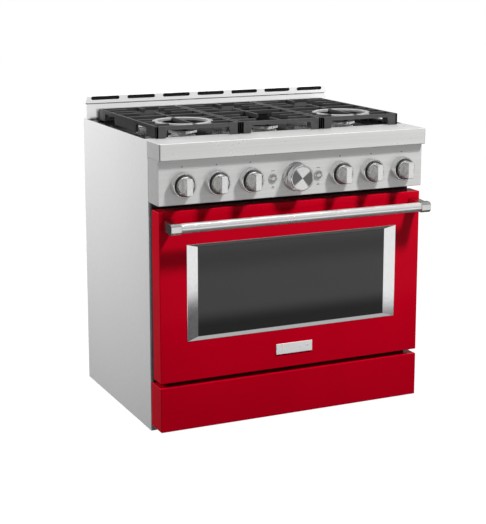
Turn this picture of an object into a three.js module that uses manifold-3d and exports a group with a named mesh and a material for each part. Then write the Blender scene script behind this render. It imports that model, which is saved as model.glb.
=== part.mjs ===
// Freestanding 36 inch gas range: six burners under three cast-iron grates, one gas oven with a
// drop-down door, a stainless control panel and landing ledge, on four levelling feet.
// Millimetres. X to the right, Y to the back, Z up from the floor. The origin is on the floor,
// in the middle of the overall width and depth.
import * as THREE from "three";
import { mergeVertices } from "three/addons/utils/BufferGeometryUtils.js";
import Module from "manifold-3d";

const wasm = await Module();
wasm.setup();

// Overall size.
const WIDTH = 911.2; // across the front rim
const DEPTH = 768.4; // back of the body to the front of the handle
const HEIGHT = 990.6; // floor to the top of the backguard

// Shop values.
const SHEET = 1.2; // gauge of the folded sheet steel
const FIT = 0.3; // gap between two pieces that touch
const RUN = 0.4; // clearance of a shaft in its hole
const RIVET = 5; // how far a joined piece reaches into the one it is welded to
const ELBOW = 1.15; // radius of a pipe's elbow over the pipe's own
const THIN_PIPE = 5; // a pipe up to this radius is bent, with no elbow fitting
const CUT = 1; // how far a cut runs past the face it goes through

// Stack of the front, from the floor up.
const SKIRT_CLEARANCE = 4; // side panels above the floor
const BASE_CLEARANCE = 21.7; // chassis and kick panel above the floor
const KICK_HEIGHT = 140.1;
const KICK_GAP = 14.7;
const VENT_GAP = 18.8; // between the door and the control panel
const PANEL_HEIGHT = 136.8;
const RIM_HEIGHT = 50.9;
const BACKGUARD_RISE = 78.1; // above the landing ledge

// Stack of the front, from the handle back.
const HANDLE_STANDOFF = 81.4; // handle front to door front
const PANEL_PROUD = 3; // control panel in front of the door
const RIM_OVERHANG = 19; // front rim in front of the control panel
const DOOR_DEPTH = 59;
const FRAME_GAP = 11; // door back to oven frame
const FRAME_DEPTH = 11; // oven frame to the front edge of the side panels
const LEDGE_DEPTH = 35; // landing ledge behind the front edge of the side panels
const RIM_SIDE = 2.2; // front rim beyond the side panels
const DOOR_SIDE = 2.4; // door inside the side panels
const FRAME_SIDE = 6; // oven frame inside the side panels

// Heights.
const rimTop = HEIGHT - BACKGUARD_RISE;
const rimBottom = rimTop - RIM_HEIGHT;
const panelBottom = rimBottom - PANEL_HEIGHT;
const doorTop = panelBottom - VENT_GAP;
const kickTop = BASE_CLEARANCE + KICK_HEIGHT;
const doorBottom = kickTop + KICK_GAP;

// Depths: smaller y is nearer the front.
const back = DEPTH / 2;
const handleFront = -DEPTH / 2;
const doorFront = handleFront + HANDLE_STANDOFF;
const panelFront = doorFront - PANEL_PROUD;
const rimFront = panelFront - RIM_OVERHANG;
const doorBack = doorFront + DOOR_DEPTH;
const frameFront = doorBack + FRAME_GAP;
const bodyFront = frameFront + FRAME_DEPTH;
const ledgeBack = bodyFront + LEDGE_DEPTH;

// Half widths.
const rimHalf = WIDTH / 2;
const bodyHalf = rimHalf - RIM_SIDE;
const doorHalf = bodyHalf - DOOR_SIDE;
const frameHalf = bodyHalf - FRAME_SIDE;

// Colour, roughness and metalness of each finish.
const STAINLESS = ["#bfbfbd", 0.38, 1];
const POLISHED = ["#d9d9d8", 0.14, 1];
const SIDE_STEEL = ["#b4b5b6", 0.42, 0.9];
const GALVANISED = ["#a3a7a8", 0.5, 0.9];
const RED_ENAMEL = ["#b3000f", 0.12, 0];
const BLACK_ENAMEL = ["#141416", 0.22, 0];
const OVEN_ENAMEL = ["#23252b", 0.3, 0];
const CAST_IRON = ["#242526", 0.72, 0.25];
const BURNER_ALUMINIUM = ["#b9babb", 0.4, 0.95];
const DARK_GLASS = ["#17181a", 0.05, 0];
const BRASS = ["#b08d4a", 0.35, 1];
const BLACK_PLASTIC = ["#1c1c1d", 0.45, 0];

const range = new THREE.Group();

// A closed three.js geometry as a solid that can be joined and cut.
function solid(geometry) {
  const bare = geometry.clone();
  bare.deleteAttribute("normal");
  bare.deleteAttribute("uv");
  const merged = mergeVertices(bare, 1e-4);
  const mesh = new wasm.Mesh({
    numProp: 3,
    vertProperties: merged.attributes.position.array,
    triVerts: new Uint32Array(merged.index.array),
  });
  return new wasm.Manifold(mesh);
}

// A block between two values on each axis.
function block([x0, x1], [y0, y1], [z0, z1]) {
  const geometry = new THREE.BoxGeometry(x1 - x0, y1 - y0, z1 - z0);
  geometry.translate((x0 + x1) / 2, (y0 + y1) / 2, (z0 + z1) / 2);
  return solid(geometry);
}

// A round bar between two points.
function bar(from, to, radius, sides = 12) {
  const start = new THREE.Vector3(...from);
  const end = new THREE.Vector3(...to);
  const along = end.clone().sub(start);
  const geometry = new THREE.CylinderGeometry(radius, radius, along.length(), sides);
  const up = new THREE.Vector3(0, 1, 0);
  geometry.applyQuaternion(new THREE.Quaternion().setFromUnitVectors(up, along.normalize()));
  geometry.translate(...start.add(end).divideScalar(2).toArray());
  return solid(geometry);
}

// A bent pipe: round bars through the points, with a ball elbow at each bend of a thick one.
function pipe(points, radius, sides = 10) {
  let run = bar(points[0], points[1], radius, sides);
  for (let i = 1; i < points.length - 1; i++) {
    if (radius > THIN_PIPE) {
      const elbow = new THREE.SphereGeometry(radius * ELBOW, sides, 4);
      elbow.translate(...points[i]);
      run = run.add(solid(elbow));
    }
    run = run.add(bar(points[i], points[i + 1], radius, sides));
  }
  return run;
}

// An outline pushed straight along the third axis: "xy" along z, "xz" along y, "yz" along x.
const X = new THREE.Vector3(1, 0, 0);
const Y = new THREE.Vector3(0, 1, 0);
const Z = new THREE.Vector3(0, 0, 1);
const PLANES = {
  xy: [X, Y, Z],
  xz: [X, Z, Y.clone().negate()],
  yz: [Y, Z, X],
};
function prism(outline, plane, from, to, roundness = 6) {
  const drawn = outline instanceof THREE.Shape;
  const shape = drawn ? outline : new THREE.Shape(outline.map((p) => new THREE.Vector2(...p)));
  const options = { depth: to - from, bevelEnabled: false, curveSegments: roundness };
  const geometry = new THREE.ExtrudeGeometry(shape, options);
  geometry.applyMatrix4(new THREE.Matrix4().makeBasis(...PLANES[plane]));
  const shift = PLANES[plane][2].clone().multiplyScalar(plane === "xz" ? -to : from);
  geometry.translate(...shift.toArray());
  return solid(geometry);
}

// A rectangle with round corners, between two values on each of the plane's axes.
function roundedRectangle([u0, u1], [v0, v1], radius) {
  const shape = new THREE.Shape();
  shape.moveTo(u0 + radius, v0);
  shape.lineTo(u1 - radius, v0);
  shape.absarc(u1 - radius, v0 + radius, radius, -Math.PI / 2, 0);
  shape.lineTo(u1, v1 - radius);
  shape.absarc(u1 - radius, v1 - radius, radius, 0, Math.PI / 2);
  shape.lineTo(u0 + radius, v1);
  shape.absarc(u0 + radius, v1 - radius, radius, Math.PI / 2, Math.PI);
  shape.lineTo(u0, v0 + radius);
  shape.absarc(u0 + radius, v0 + radius, radius, Math.PI, 1.5 * Math.PI);
  return shape;
}

// A turned piece: [radius, height] pairs round the vertical axis, or round the axis to the front.
function turned(profile, sides = 24, toFront = false) {
  const points = profile.map(([r, h]) => new THREE.Vector2(r, h));
  const geometry = new THREE.LatheGeometry(points, sides);
  geometry.rotateX(toFront ? Math.PI : Math.PI / 2);
  return solid(geometry);
}

// Put one finished solid in the range as a named piece.
function place(name, piece, [colour, roughness, metalness], at = [0, 0, 0]) {
  const { vertProperties, triVerts } = piece.getMesh();
  const geometry = new THREE.BufferGeometry();
  geometry.setAttribute("position", new THREE.BufferAttribute(vertProperties, 3));
  geometry.setIndex(new THREE.BufferAttribute(triVerts, 1));
  const material = new THREE.MeshStandardMaterial({ color: colour, roughness, metalness });
  const mesh = new THREE.Mesh(geometry, material);
  mesh.name = name;
  mesh.position.set(...at);
  range.add(mesh);
}

// Both sides of the range, left first.
const SIDES = [
  ["left", -1],
  ["right", 1],
];

// A span across one side of the range: from and to are distances from the middle.
function span(side, from, to) {
  return side < 0 ? [-to, -from] : [from, to];
}

// ---- Levelling feet: a pad on a threaded stem, screwed into the chassis ----
const FOOT_RADIUS = 19;
const FOOT_PAD = 9;
const FOOT_COLLAR = 8; // top of the pad, round the stem
const FOOT_STEM_RADIUS = 5;
const FOOT_STEM_TOP = 50; // stem above the floor
const FOOT_INSET_X = 43; // from the side panel's face
const FOOT_INSET_FRONT = 70; // behind the front edge of the side panels
const FOOT_INSET_BACK = 55;
const footX = bodyHalf - FOOT_INSET_X;
const footYs = { front: bodyFront + FOOT_INSET_FRONT, back: back - FOOT_INSET_BACK };

function levellingFeet() {
  const profile = [
    [0, 0],
    [FOOT_RADIUS, 0],
    [FOOT_RADIUS, FOOT_PAD / 2],
    [FOOT_COLLAR, FOOT_PAD],
    [FOOT_STEM_RADIUS, FOOT_PAD],
    [FOOT_STEM_RADIUS, FOOT_STEM_TOP],
    [0, FOOT_STEM_TOP],
  ];
  for (const [end, y] of Object.entries(footYs)) {
    for (const [side, sign] of SIDES) {
      place(`levelling_foot_${end}_${side}`, turned(profile, 14), BLACK_PLASTIC, [sign * footX, y, 0]);
    }
  }
}

// ---- Chassis pan: the folded tray that everything stands on ----
const CHASSIS_WALL = 40;
const backPanelY = back - SHEET - FIT - SHEET; // inner face of the back panel
const insideHalf = bodyHalf - SHEET - FIT; // half width between the side panels

function chassisPan() {
  const yFront = bodyFront + SHEET + FIT;
  const yBack = backPanelY - FIT;
  const z0 = BASE_CLEARANCE;
  let tray = block([-insideHalf, insideHalf], [yFront, yBack], [z0, z0 + CHASSIS_WALL]);
  const hollowX = [SHEET - insideHalf, insideHalf - SHEET];
  const hollow = block(hollowX, [yFront + SHEET, yBack - SHEET], [z0 + SHEET, z0 + CHASSIS_WALL + CUT]);
  tray = tray.subtract(hollow);
  for (const y of Object.values(footYs)) {
    for (const sign of [-1, 1]) {
      const hole = bar([sign * footX, y, 0], [sign * footX, y, z0 + SHEET + CUT], FOOT_STEM_RADIUS + RUN, 16);
      tray = tray.subtract(hole);
    }
  }
  place("chassis_pan", tray, GALVANISED);
}

// ---- Side panels: one folded sheet each, with a flange along the front and back edges ----
const SIDE_FLANGE = 20;

function sidePanels() {
  const inner = bodyHalf - SHEET;
  const lip = bodyHalf - SIDE_FLANGE;
  const folded = [
    [bodyHalf, bodyFront],
    [bodyHalf, back],
    [lip, back],
    [lip, back - SHEET],
    [inner, back - SHEET],
    [inner, bodyFront + SHEET],
    [lip, bodyFront + SHEET],
    [lip, bodyFront],
  ];
  for (const [side, sign] of SIDES) {
    const outline = folded.map(([x, y]) => [sign * x, y]);
    place(`side_panel_${side}`, prism(outline, "xy", SKIRT_CLEARANCE, rimTop), SIDE_STEEL);
  }
}

// ---- Back panel: a flat galvanised sheet with air slots and the gas inlet hole ----
const INLET_RADIUS = 10.5; // outside of the gas supply pipe
const INLET_ABOVE = 18; // pipe axis above the chassis wall
const SUPPLY_INSET = 38; // pipe axis inside the side panel's face
const BACK_SLOT = [90, 8];
const BACK_SLOTS_ACROSS = 5;
const BACK_SLOT_ROWS = 2;
const BACK_SLOT_PITCH = 28;
const CORD_HOLE_RADIUS = 11;
const supplyX = bodyHalf - SUPPLY_INSET;
const inletZ = BASE_CLEARANCE + CHASSIS_WALL + INLET_ABOVE;

function backPanel() {
  const y = [backPanelY, backPanelY + SHEET];
  const through = [y[0] - CUT, y[1] + CUT];
  let sheet = block([-insideHalf, insideHalf], y, [BASE_CLEARANCE, rimTop - FIT]);
  const inlet = bar([supplyX, through[0], inletZ], [supplyX, through[1], inletZ], INLET_RADIUS + RUN, 16);
  const cord = bar([-supplyX, through[0], inletZ], [-supplyX, through[1], inletZ], CORD_HOLE_RADIUS, 16);
  sheet = sheet.subtract(inlet).subtract(cord);
  const pitchX = (2 * insideHalf) / (BACK_SLOTS_ACROSS + 1);
  for (let column = 1; column <= BACK_SLOTS_ACROSS; column++) {
    for (let row = 0; row < BACK_SLOT_ROWS; row++) {
      const x = -insideHalf + column * pitchX;
      const z = panelBottom + row * BACK_SLOT_PITCH;
      const slot = block([x - BACK_SLOT[0] / 2, x + BACK_SLOT[0] / 2], through, [z, z + BACK_SLOT[1]]);
      sheet = sheet.subtract(slot);
    }
  }
  place("back_panel", sheet, GALVANISED);
}

// ---- Kick panel: the enamelled lower front, a folded sheet open to the back ----
function kickPanel() {
  const yBack = bodyFront - FIT;
  const outer = block([-doorHalf, doorHalf], [doorFront, yBack], [BASE_CLEARANCE, kickTop]);
  const innerX = [SHEET - doorHalf, doorHalf - SHEET];
  const inner = block(innerX, [doorFront + SHEET, yBack + CUT], [BASE_CLEARANCE + SHEET, kickTop - SHEET]);
  place("kick_panel", outer.subtract(inner), RED_ENAMEL);
}

// ---- Front rim: the stainless landing ledge that wraps the cooktop's front ----
const RIM_CORNER = 6;
const RIM_LIP = 10; // bottom lip behind the control panel's face
const LEDGE_FLANGE = 14;

function frontRim() {
  const yBack = bodyFront - FIT;
  const z = [rimBottom, rimTop];
  const outline = new THREE.Shape();
  outline.moveTo(-rimHalf, yBack);
  outline.lineTo(-rimHalf, rimFront + RIM_CORNER);
  outline.absarc(-rimHalf + RIM_CORNER, rimFront + RIM_CORNER, RIM_CORNER, Math.PI, 1.5 * Math.PI);
  outline.lineTo(rimHalf - RIM_CORNER, rimFront);
  outline.absarc(rimHalf - RIM_CORNER, rimFront + RIM_CORNER, RIM_CORNER, -Math.PI / 2, 0);
  outline.lineTo(rimHalf, yBack);
  const outer = prism(outline, "xy", z[0], z[1], 4);
  const innerX = [SHEET - rimHalf, rimHalf - SHEET];
  const inner = block(innerX, [rimFront + SHEET, yBack + CUT], [z[0] + SHEET, z[1] - SHEET]);
  const open = block(innerX, [panelFront + RIM_LIP, yBack + CUT], [z[0] - CUT, z[0] + RIVET]);
  const corner = RIM_CORNER + SHEET;
  const cornerY = [rimFront + RIM_CORNER / 2, rimFront + corner];
  const cornerStock = SIDES.map(([, sign]) =>
    block(span(sign, rimHalf - corner, rimHalf - RIM_CORNER / 2), cornerY, z),
  );
  const roundCorner = prism(outline, "xy", z[0], z[1], 4).intersect(cornerStock[0].add(cornerStock[1]));
  const neckHalf = bodyHalf - SIDE_FLANGE - FIT;
  const ledgeY = [bodyFront + SHEET + FIT, ledgeBack];
  const neck = block([-neckHalf, neckHalf], [yBack - RIVET, ledgeY[0] + RIVET], [z[1] - SHEET, z[1]]);
  const ledge = block([-insideHalf, insideHalf], ledgeY, [z[1] - SHEET, z[1]]).add(neck);
  const turnDownY = [ledgeBack - SHEET, ledgeBack];
  const turnDown = block([-insideHalf, insideHalf], turnDownY, [z[1] - LEDGE_FLANGE, z[1]]);
  const wrap = outer.subtract(inner).subtract(open).add(roundCorner);
  place("front_rim", wrap.add(ledge).add(turnDown), STAINLESS);
}

// ---- Backguard: a low stainless upstand with a row of round-ended flue slots ----
const GUARD_DEPTH = 34.4; // lower panel, in front of the body's back
const GUARD_BOX_DEPTH = 36; // upper box
const GUARD_BOX_HEIGHT = 25.1;
const GUARD_NECK_HEIGHT = 3.5; // shadow gap below the upper box
const GUARD_NECK_INSET = 8;
const FLUE_SLOTS = 7;
const FLUE_SLOT_LENGTH = 100;
const FLUE_SLOT_HEIGHT = 11.8;
const FLUE_SLOT_EDGE = 16.9; // from the body's side to the end of the last slot
const FLUE_SLOT_DROP = 8.8; // slot axis below the top
const guardFront = back - GUARD_DEPTH;

function backguard() {
  const boxFront = back - GUARD_BOX_DEPTH;
  const boxBottom = HEIGHT - GUARD_BOX_HEIGHT;
  const neckBottom = boxBottom - GUARD_NECK_HEIGHT;
  const neckFront = guardFront + GUARD_NECK_INSET;
  const bottom = rimTop + FIT;
  const outline = [
    [back, bottom],
    [back, HEIGHT],
    [boxFront, HEIGHT],
    [boxFront, boxBottom],
    [neckFront, boxBottom],
    [neckFront, neckBottom],
    [guardFront, neckBottom],
    [guardFront, bottom],
  ];
  const hollowOutline = [
    [back - SHEET, bottom - CUT],
    [back - SHEET, HEIGHT - SHEET],
    [boxFront + SHEET, HEIGHT - SHEET],
    [boxFront + SHEET, boxBottom + SHEET],
    [neckFront + SHEET, boxBottom + SHEET],
    [neckFront + SHEET, neckBottom - SHEET],
    [guardFront + SHEET, neckBottom - SHEET],
    [guardFront + SHEET, bottom - CUT],
  ];
  let guard = prism(outline, "yz", -bodyHalf, bodyHalf);
  guard = guard.subtract(prism(hollowOutline, "yz", SHEET - bodyHalf, bodyHalf - SHEET));
  const reach = bodyHalf - FLUE_SLOT_EDGE - FLUE_SLOT_LENGTH / 2;
  const z = HEIGHT - FLUE_SLOT_DROP;
  for (let i = 0; i < FLUE_SLOTS; i++) {
    const x = -reach + (2 * reach * i) / (FLUE_SLOTS - 1);
    const across = [x - FLUE_SLOT_LENGTH / 2, x + FLUE_SLOT_LENGTH / 2];
    const up = [z - FLUE_SLOT_HEIGHT / 2, z + FLUE_SLOT_HEIGHT / 2];
    const slot = roundedRectangle(across, up, FLUE_SLOT_HEIGHT / 2 - 0.01);
    guard = guard.subtract(prism(slot, "xz", boxFront - CUT, boxFront + SHEET + CUT, 3));
  }
  place("backguard", guard, STAINLESS);
}

// ---- Cooktop pan: the black enamelled spill tray between ledge and backguard ----
const PAN_DROP = 1; // pan edge below the ledge
const PAN_DEPTH = 15;
const PAN_EDGE = 16; // flat edge at the front and sides
const PAN_REAR_EDGE = 54; // flat edge under the grates' rear legs
const panTop = rimTop - PAN_DROP;
const panFloor = panTop - PAN_DEPTH;
const panFront = ledgeBack + FIT;
const panBack = guardFront - FIT;

// Grates and burners share one layout, three across and two deep.
const GRATES = ["left", "middle", "right"];
const GRATE_SIDE = 33.4; // grate edge inside the side panel's face
const GRATE_GAP = 5;
const GRATE_OVERLAP = 21; // front legs stand on the ledge this far
const GRATE_REAR = 28; // grate behind edge to the backguard
const GRATE_RISE = 36.5; // grate top above the ledge
const FRONT_BURNER_IN = 129; // burner axis behind the grate's front
const REAR_BURNER_IN = 110; // burner axis in front of the grate's back
const grateWidth = (2 * (bodyHalf - GRATE_SIDE) - 2 * GRATE_GAP) / GRATES.length;
const grateFront = ledgeBack - GRATE_OVERLAP;
const grateBack = guardFront - GRATE_REAR;
const grateTop = rimTop + GRATE_RISE;
const grateX = GRATES.map((_, i) => (i - 1) * (grateWidth + GRATE_GAP));
const burnerY = { front: grateFront + FRONT_BURNER_IN, rear: grateBack - REAR_BURNER_IN };
const middleBarY = (burnerY.front + burnerY.rear) / 2;

const BURNER_THROAT = 24; // neck of the burner body, through the pan
const THROAT_HOLE = 25.4; // radius of the pan's hole for it

function cooktopPan() {
  const wallHalf = insideHalf - PAN_EDGE;
  const wallY = [panFront + PAN_EDGE, panBack - PAN_REAR_EDGE];
  const bottom = panFloor - SHEET;
  const edge = block([-insideHalf, insideHalf], [panFront, panBack], [panTop - SHEET, panTop]);
  const tub = block([-wallHalf, wallHalf], wallY, [bottom, panTop]);
  const hollowX = [SHEET - wallHalf, wallHalf - SHEET];
  const hollow = block(hollowX, [wallY[0] + SHEET, wallY[1] - SHEET], [panFloor, panTop + CUT]);
  let pan = edge.add(tub).subtract(hollow);
  for (const x of grateX) {
    for (const y of Object.values(burnerY)) {
      pan = pan.subtract(bar([x, y, bottom - CUT], [x, y, panFloor + CUT], THROAT_HOLE, 14));
    }
  }
  place("cooktop_pan", pan, BLACK_ENAMEL);
}

// ---- Burners: a cast aluminium body that drops into the pan, and a loose iron cap on top ----
const BURNER_RADIUS = 46;
const BURNER_SHOULDER = 40;
const BURNER_WAIST = 34;
const BURNER_HEAD = 45;
const BURNER_FLARE = 3; // height of the flare under the head
const BURNER_FLANGE = 4; // seat on the pan
const BURNER_HEAD_HEIGHT = 23; // head top above the pan floor
const BURNER_HEAD_THICKNESS = 9;
const BURNER_NECK_DROP = 26; // neck below the pan floor
const CAP_RADIUS = 48;
const CAP_THICKNESS = 8;
const CAP_CHAMFER = 3;
const CAP_EDGE = 2; // lower edge break
const CAP_CROWN = 1; // rise of the top to its middle

function burners() {
  const seat = panFloor + FIT;
  const head = BURNER_HEAD_HEIGHT;
  const body = turned([
    [0, -BURNER_NECK_DROP],
    [BURNER_THROAT, -BURNER_NECK_DROP],
    [BURNER_THROAT, 0],
    [BURNER_RADIUS, 0],
    [BURNER_SHOULDER, BURNER_FLANGE],
    [BURNER_WAIST, head - BURNER_HEAD_THICKNESS - BURNER_FLARE],
    [BURNER_HEAD, head - BURNER_HEAD_THICKNESS],
    [BURNER_HEAD, head],
    [0, head],
  ], 18);
  const cap = turned([
    [0, 0],
    [CAP_RADIUS - CAP_EDGE, 0],
    [CAP_RADIUS, CAP_EDGE],
    [CAP_RADIUS, CAP_THICKNESS - CAP_CHAMFER],
    [CAP_RADIUS - CAP_CHAMFER, CAP_THICKNESS],
    [0, CAP_THICKNESS + CAP_CROWN],
  ], 18);
  for (const [row, y] of Object.entries(burnerY)) {
    GRATES.forEach((name, i) => {
      place(`burner_body_${name}_${row}`, body, BURNER_ALUMINIUM, [grateX[i], y, seat]);
      place(`burner_cap_${name}_${row}`, cap, CAST_IRON, [grateX[i], y, seat + head + FIT]);
    });
  }
}

// ---- Grates: one casting each, a deep rim on legs with fingers over both burners ----
const GRATE_WALL = 9; // thickness of the rim
const GRATE_FINGER = 8;
const GRATE_FINGER_DEPTH = 14;
const GRATE_LEG = 32; // width of a corner leg
const GRATE_TOP_BAR = 12; // rim left above an arch
const ARCH_SLOPE = 6;
const GRATE_SIDE_ARCH = 98;
const FINGER_REACH_X = 56; // finger end from the burner axis, across
const FINGER_REACH_Y = 48; // finger end from the burner axis, front to back
const FINGER_PITCH = 60;
const RING_OUTER = 95;
const RING_INNER = 79;
const RING_HEIGHT = 9;
const RING_DROP = 1.5; // ring below the grate's top

// A trapezoid arch, wider at the foot, cut up into the rim from below.
function arch(from, to, bottom, top) {
  return [
    [from, bottom],
    [to, bottom],
    [to - ARCH_SLOPE, top],
    [from + ARCH_SLOPE, top],
  ];
}

function grate(withRings) {
  const half = grateWidth / 2;
  const y = [grateFront, grateBack];
  const foot = rimTop + FIT;
  const top = grateTop;
  const under = top - GRATE_FINGER_DEPTH;
  const rimX = [-half, half];
  const holeX = [GRATE_WALL - half, half - GRATE_WALL];
  let casting = block(rimX, y, [foot, top]);
  casting = casting.subtract(block(holeX, [y[0] + GRATE_WALL, y[1] - GRATE_WALL], [foot - CUT, top + CUT]));
  const frontArch = arch(GRATE_LEG - half, half - GRATE_LEG, foot - CUT, top - GRATE_TOP_BAR);
  casting = casting.subtract(prism(frontArch, "xz", y[0] - CUT, y[1] + CUT));
  for (const axis of Object.values(burnerY)) {
    const from = axis - GRATE_SIDE_ARCH / 2;
    const to = axis + GRATE_SIDE_ARCH / 2;
    const sideArch = arch(from, to, foot - CUT, top - GRATE_TOP_BAR);
    casting = casting.subtract(prism(sideArch, "yz", -half - CUT, half + CUT));
  }
  const f = GRATE_FINGER / 2;
  const into = half - GRATE_WALL / 2;
  casting = casting.add(block([-into, into], [middleBarY - f, middleBarY + f], [under, top]));
  for (const [row, axis] of Object.entries(burnerY)) {
    const ends = row === "front" ? [y[0] + GRATE_WALL / 2, middleBarY] : [middleBarY, y[1] - GRATE_WALL / 2];
    const ringed = withRings && row === "front";
    if (ringed) {
      casting = casting.add(block([-f, f], ends, [under, top]));
      const ring = turned(
        [
          [RING_INNER, 0],
          [RING_OUTER, 0],
          [RING_OUTER, RING_HEIGHT],
          [RING_INNER, RING_HEIGHT],
          [RING_INNER, 0],
        ],
        28,
      );
      casting = casting.add(ring.translate([0, axis, top - RING_DROP - RING_HEIGHT]));
    } else {
      casting = casting.add(block([-f, f], [ends[0], axis - FINGER_REACH_Y], [under, top]));
      casting = casting.add(block([-f, f], [axis + FINGER_REACH_Y, ends[1]], [under, top]));
    }
    const reach = ringed ? RING_INNER : FINGER_REACH_X;
    for (const step of [-1, 0, 1]) {
      const at = axis + step * FINGER_PITCH;
      for (const [, sign] of SIDES) {
        const inner = ringed ? Math.sqrt(Math.max(reach ** 2 - (step * FINGER_PITCH) ** 2, 0)) + 2 : reach;
        casting = casting.add(block(span(sign, inner, into), [at - f, at + f], [under, top]));
      }
    }
  }
  return casting;
}

function grates() {
  GRATES.forEach((name, i) => {
    place(`grate_${name}`, grate(name !== "middle"), CAST_IRON, [grateX[i], 0, 0]);
  });
}

// ---- Controls: six burner knobs, the oven knob and two push buttons on one axis line ----
const CONTROL_DROP = 76.1; // knob axis below the rim
const KNOB_EDGE = 76; // outermost knob axis from the panel's end
const BUTTON_X = 78.1; // button axis from the middle
const KNOB_FROM_BUTTON = 76.4; // innermost burner knob axis from the button axis
const KNOBS_PER_SIDE = 3;
const BEZEL_OUTER = 37.4;
const BEZEL_DEPTH = 23;
const BEZEL_WALL = 5;
const KNOB_GAP = 4; // bezel to knob, all round
const KNOB_PUSH = 3; // travel before the valve turns
const KNOB_BACK = 5; // knob behind face in front of the panel
const KNOB_PROUD = 11.2; // knob disc in front of the bezel
const KNOB_CHAMFER = 4;
const BLADE_DEPTH = 27.8; // grip in front of the knob disc
const BLADE_WIDTH = 20;
const BLADE_HEIGHT = 50;
const BLADE_CORNER = 4;
const STEM_RADIUS = 4;
const STEM_FLAT = 2.4; // flat on the stem, above its axis
const STEM_ROOM = 1; // clearance of the stem in the panel
const STEM_IN_KNOB = 20;
const OVEN_KNOB_RADIUS = 39.5;
const OVEN_KNOB_DEPTH = 28;
const OVEN_RING_RADIUS = 45;
const OVEN_RING_DEPTH = 16;
const RING_CHAMFER = 3;
const OVEN_KNOB_GAP = 3;
const DIAL_CHAMFER = 2;
const BUTTON_RADIUS = 10;
const BUTTON_BEZEL_RADIUS = 13.8;
const BUTTON_BEZEL_DEPTH = 5;
const BUTTON_PROUD = 2.2;
const BUTTON_CHAMFER = 1;
const FLANGE_OVER = 2; // retaining flange wider than the button, each side
const BUTTON_FLANGE = 2; // retaining flange behind the panel
const controlZ = rimBottom - CONTROL_DROP;
const knobInner = BUTTON_X + KNOB_FROM_BUTTON;
const knobOuter = bodyHalf - KNOB_EDGE;
const knobPitch = (knobOuter - knobInner) / (KNOBS_PER_SIDE - 1);
const knobRadius = BEZEL_OUTER - BEZEL_WALL - KNOB_GAP;
const knobXs = [];
for (let i = 0; i < KNOBS_PER_SIDE; i++) {
  knobXs.push(-knobOuter + i * knobPitch);
}
for (let i = 0; i < KNOBS_PER_SIDE; i++) {
  knobXs.push(knobInner + i * knobPitch);
}

// ---- Gas train: manifold pipe, a valve behind each knob, burner lines and the supply pipe ----
const MANIFOLD_BEHIND = 54; // manifold axis behind the control panel's face
const VALVE = [26, 40, 34];
const BURNER_LINE_RADIUS = 3.5;
const LINE_DROP = 34; // burner lines below the pan floor
const LINE_SET_BACK = 25; // where a burner line starts to climb, behind the side panels' front edge
const SUPPLY_BACK = 30; // supply riser in front of the back panel
const manifoldY = panelFront + MANIFOLD_BEHIND;
const valveFront = manifoldY - VALVE[1] / 2;

// The left knobs serve the left and rear middle burners, the right knobs the others.
const KNOB_SERVES = [
  ["left", "front"],
  ["left", "rear"],
  ["middle", "rear"],
  ["middle", "front"],
  ["right", "rear"],
  ["right", "front"],
];

function gasManifold() {
  const behind = backPanelY - SUPPLY_BACK;
  const supply = [
    [-knobOuter - VALVE[0], manifoldY, controlZ],
    [supplyX, manifoldY, controlZ],
    [supplyX, behind, controlZ],
    [supplyX, behind, inletZ],
    [supplyX, back, inletZ],
  ];
  let train = pipe(supply, INLET_RADIUS, 10);
  const lineZ = panFloor - LINE_DROP;
  KNOB_SERVES.forEach(([column, row], i) => {
    const x = knobXs[i];
    const valveX = [x - VALVE[0] / 2, x + VALVE[0] / 2];
    const valveY = [valveFront, valveFront + VALVE[1]];
    const valveZ = [controlZ - VALVE[2] / 2, controlZ + VALVE[2] / 2];
    const lineX = grateX[GRATES.indexOf(column)];
    const line = [
      [x, manifoldY, controlZ],
      [x, bodyFront + LINE_SET_BACK, controlZ],
      [lineX, burnerY[row], lineZ - i * 2 * BURNER_LINE_RADIUS],
      [lineX, burnerY[row], panFloor - BURNER_NECK_DROP - FIT],
    ];
    train = train.add(block(valveX, valveY, valveZ)).add(pipe(line, BURNER_LINE_RADIUS, 6));
  });
  place("gas_manifold", train, BRASS);
}

// ---- Control panel: a folded stainless box with its bezels pressed in ----
const PANEL_BOTTOM_LIP = 58; // bottom return behind the face

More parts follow.
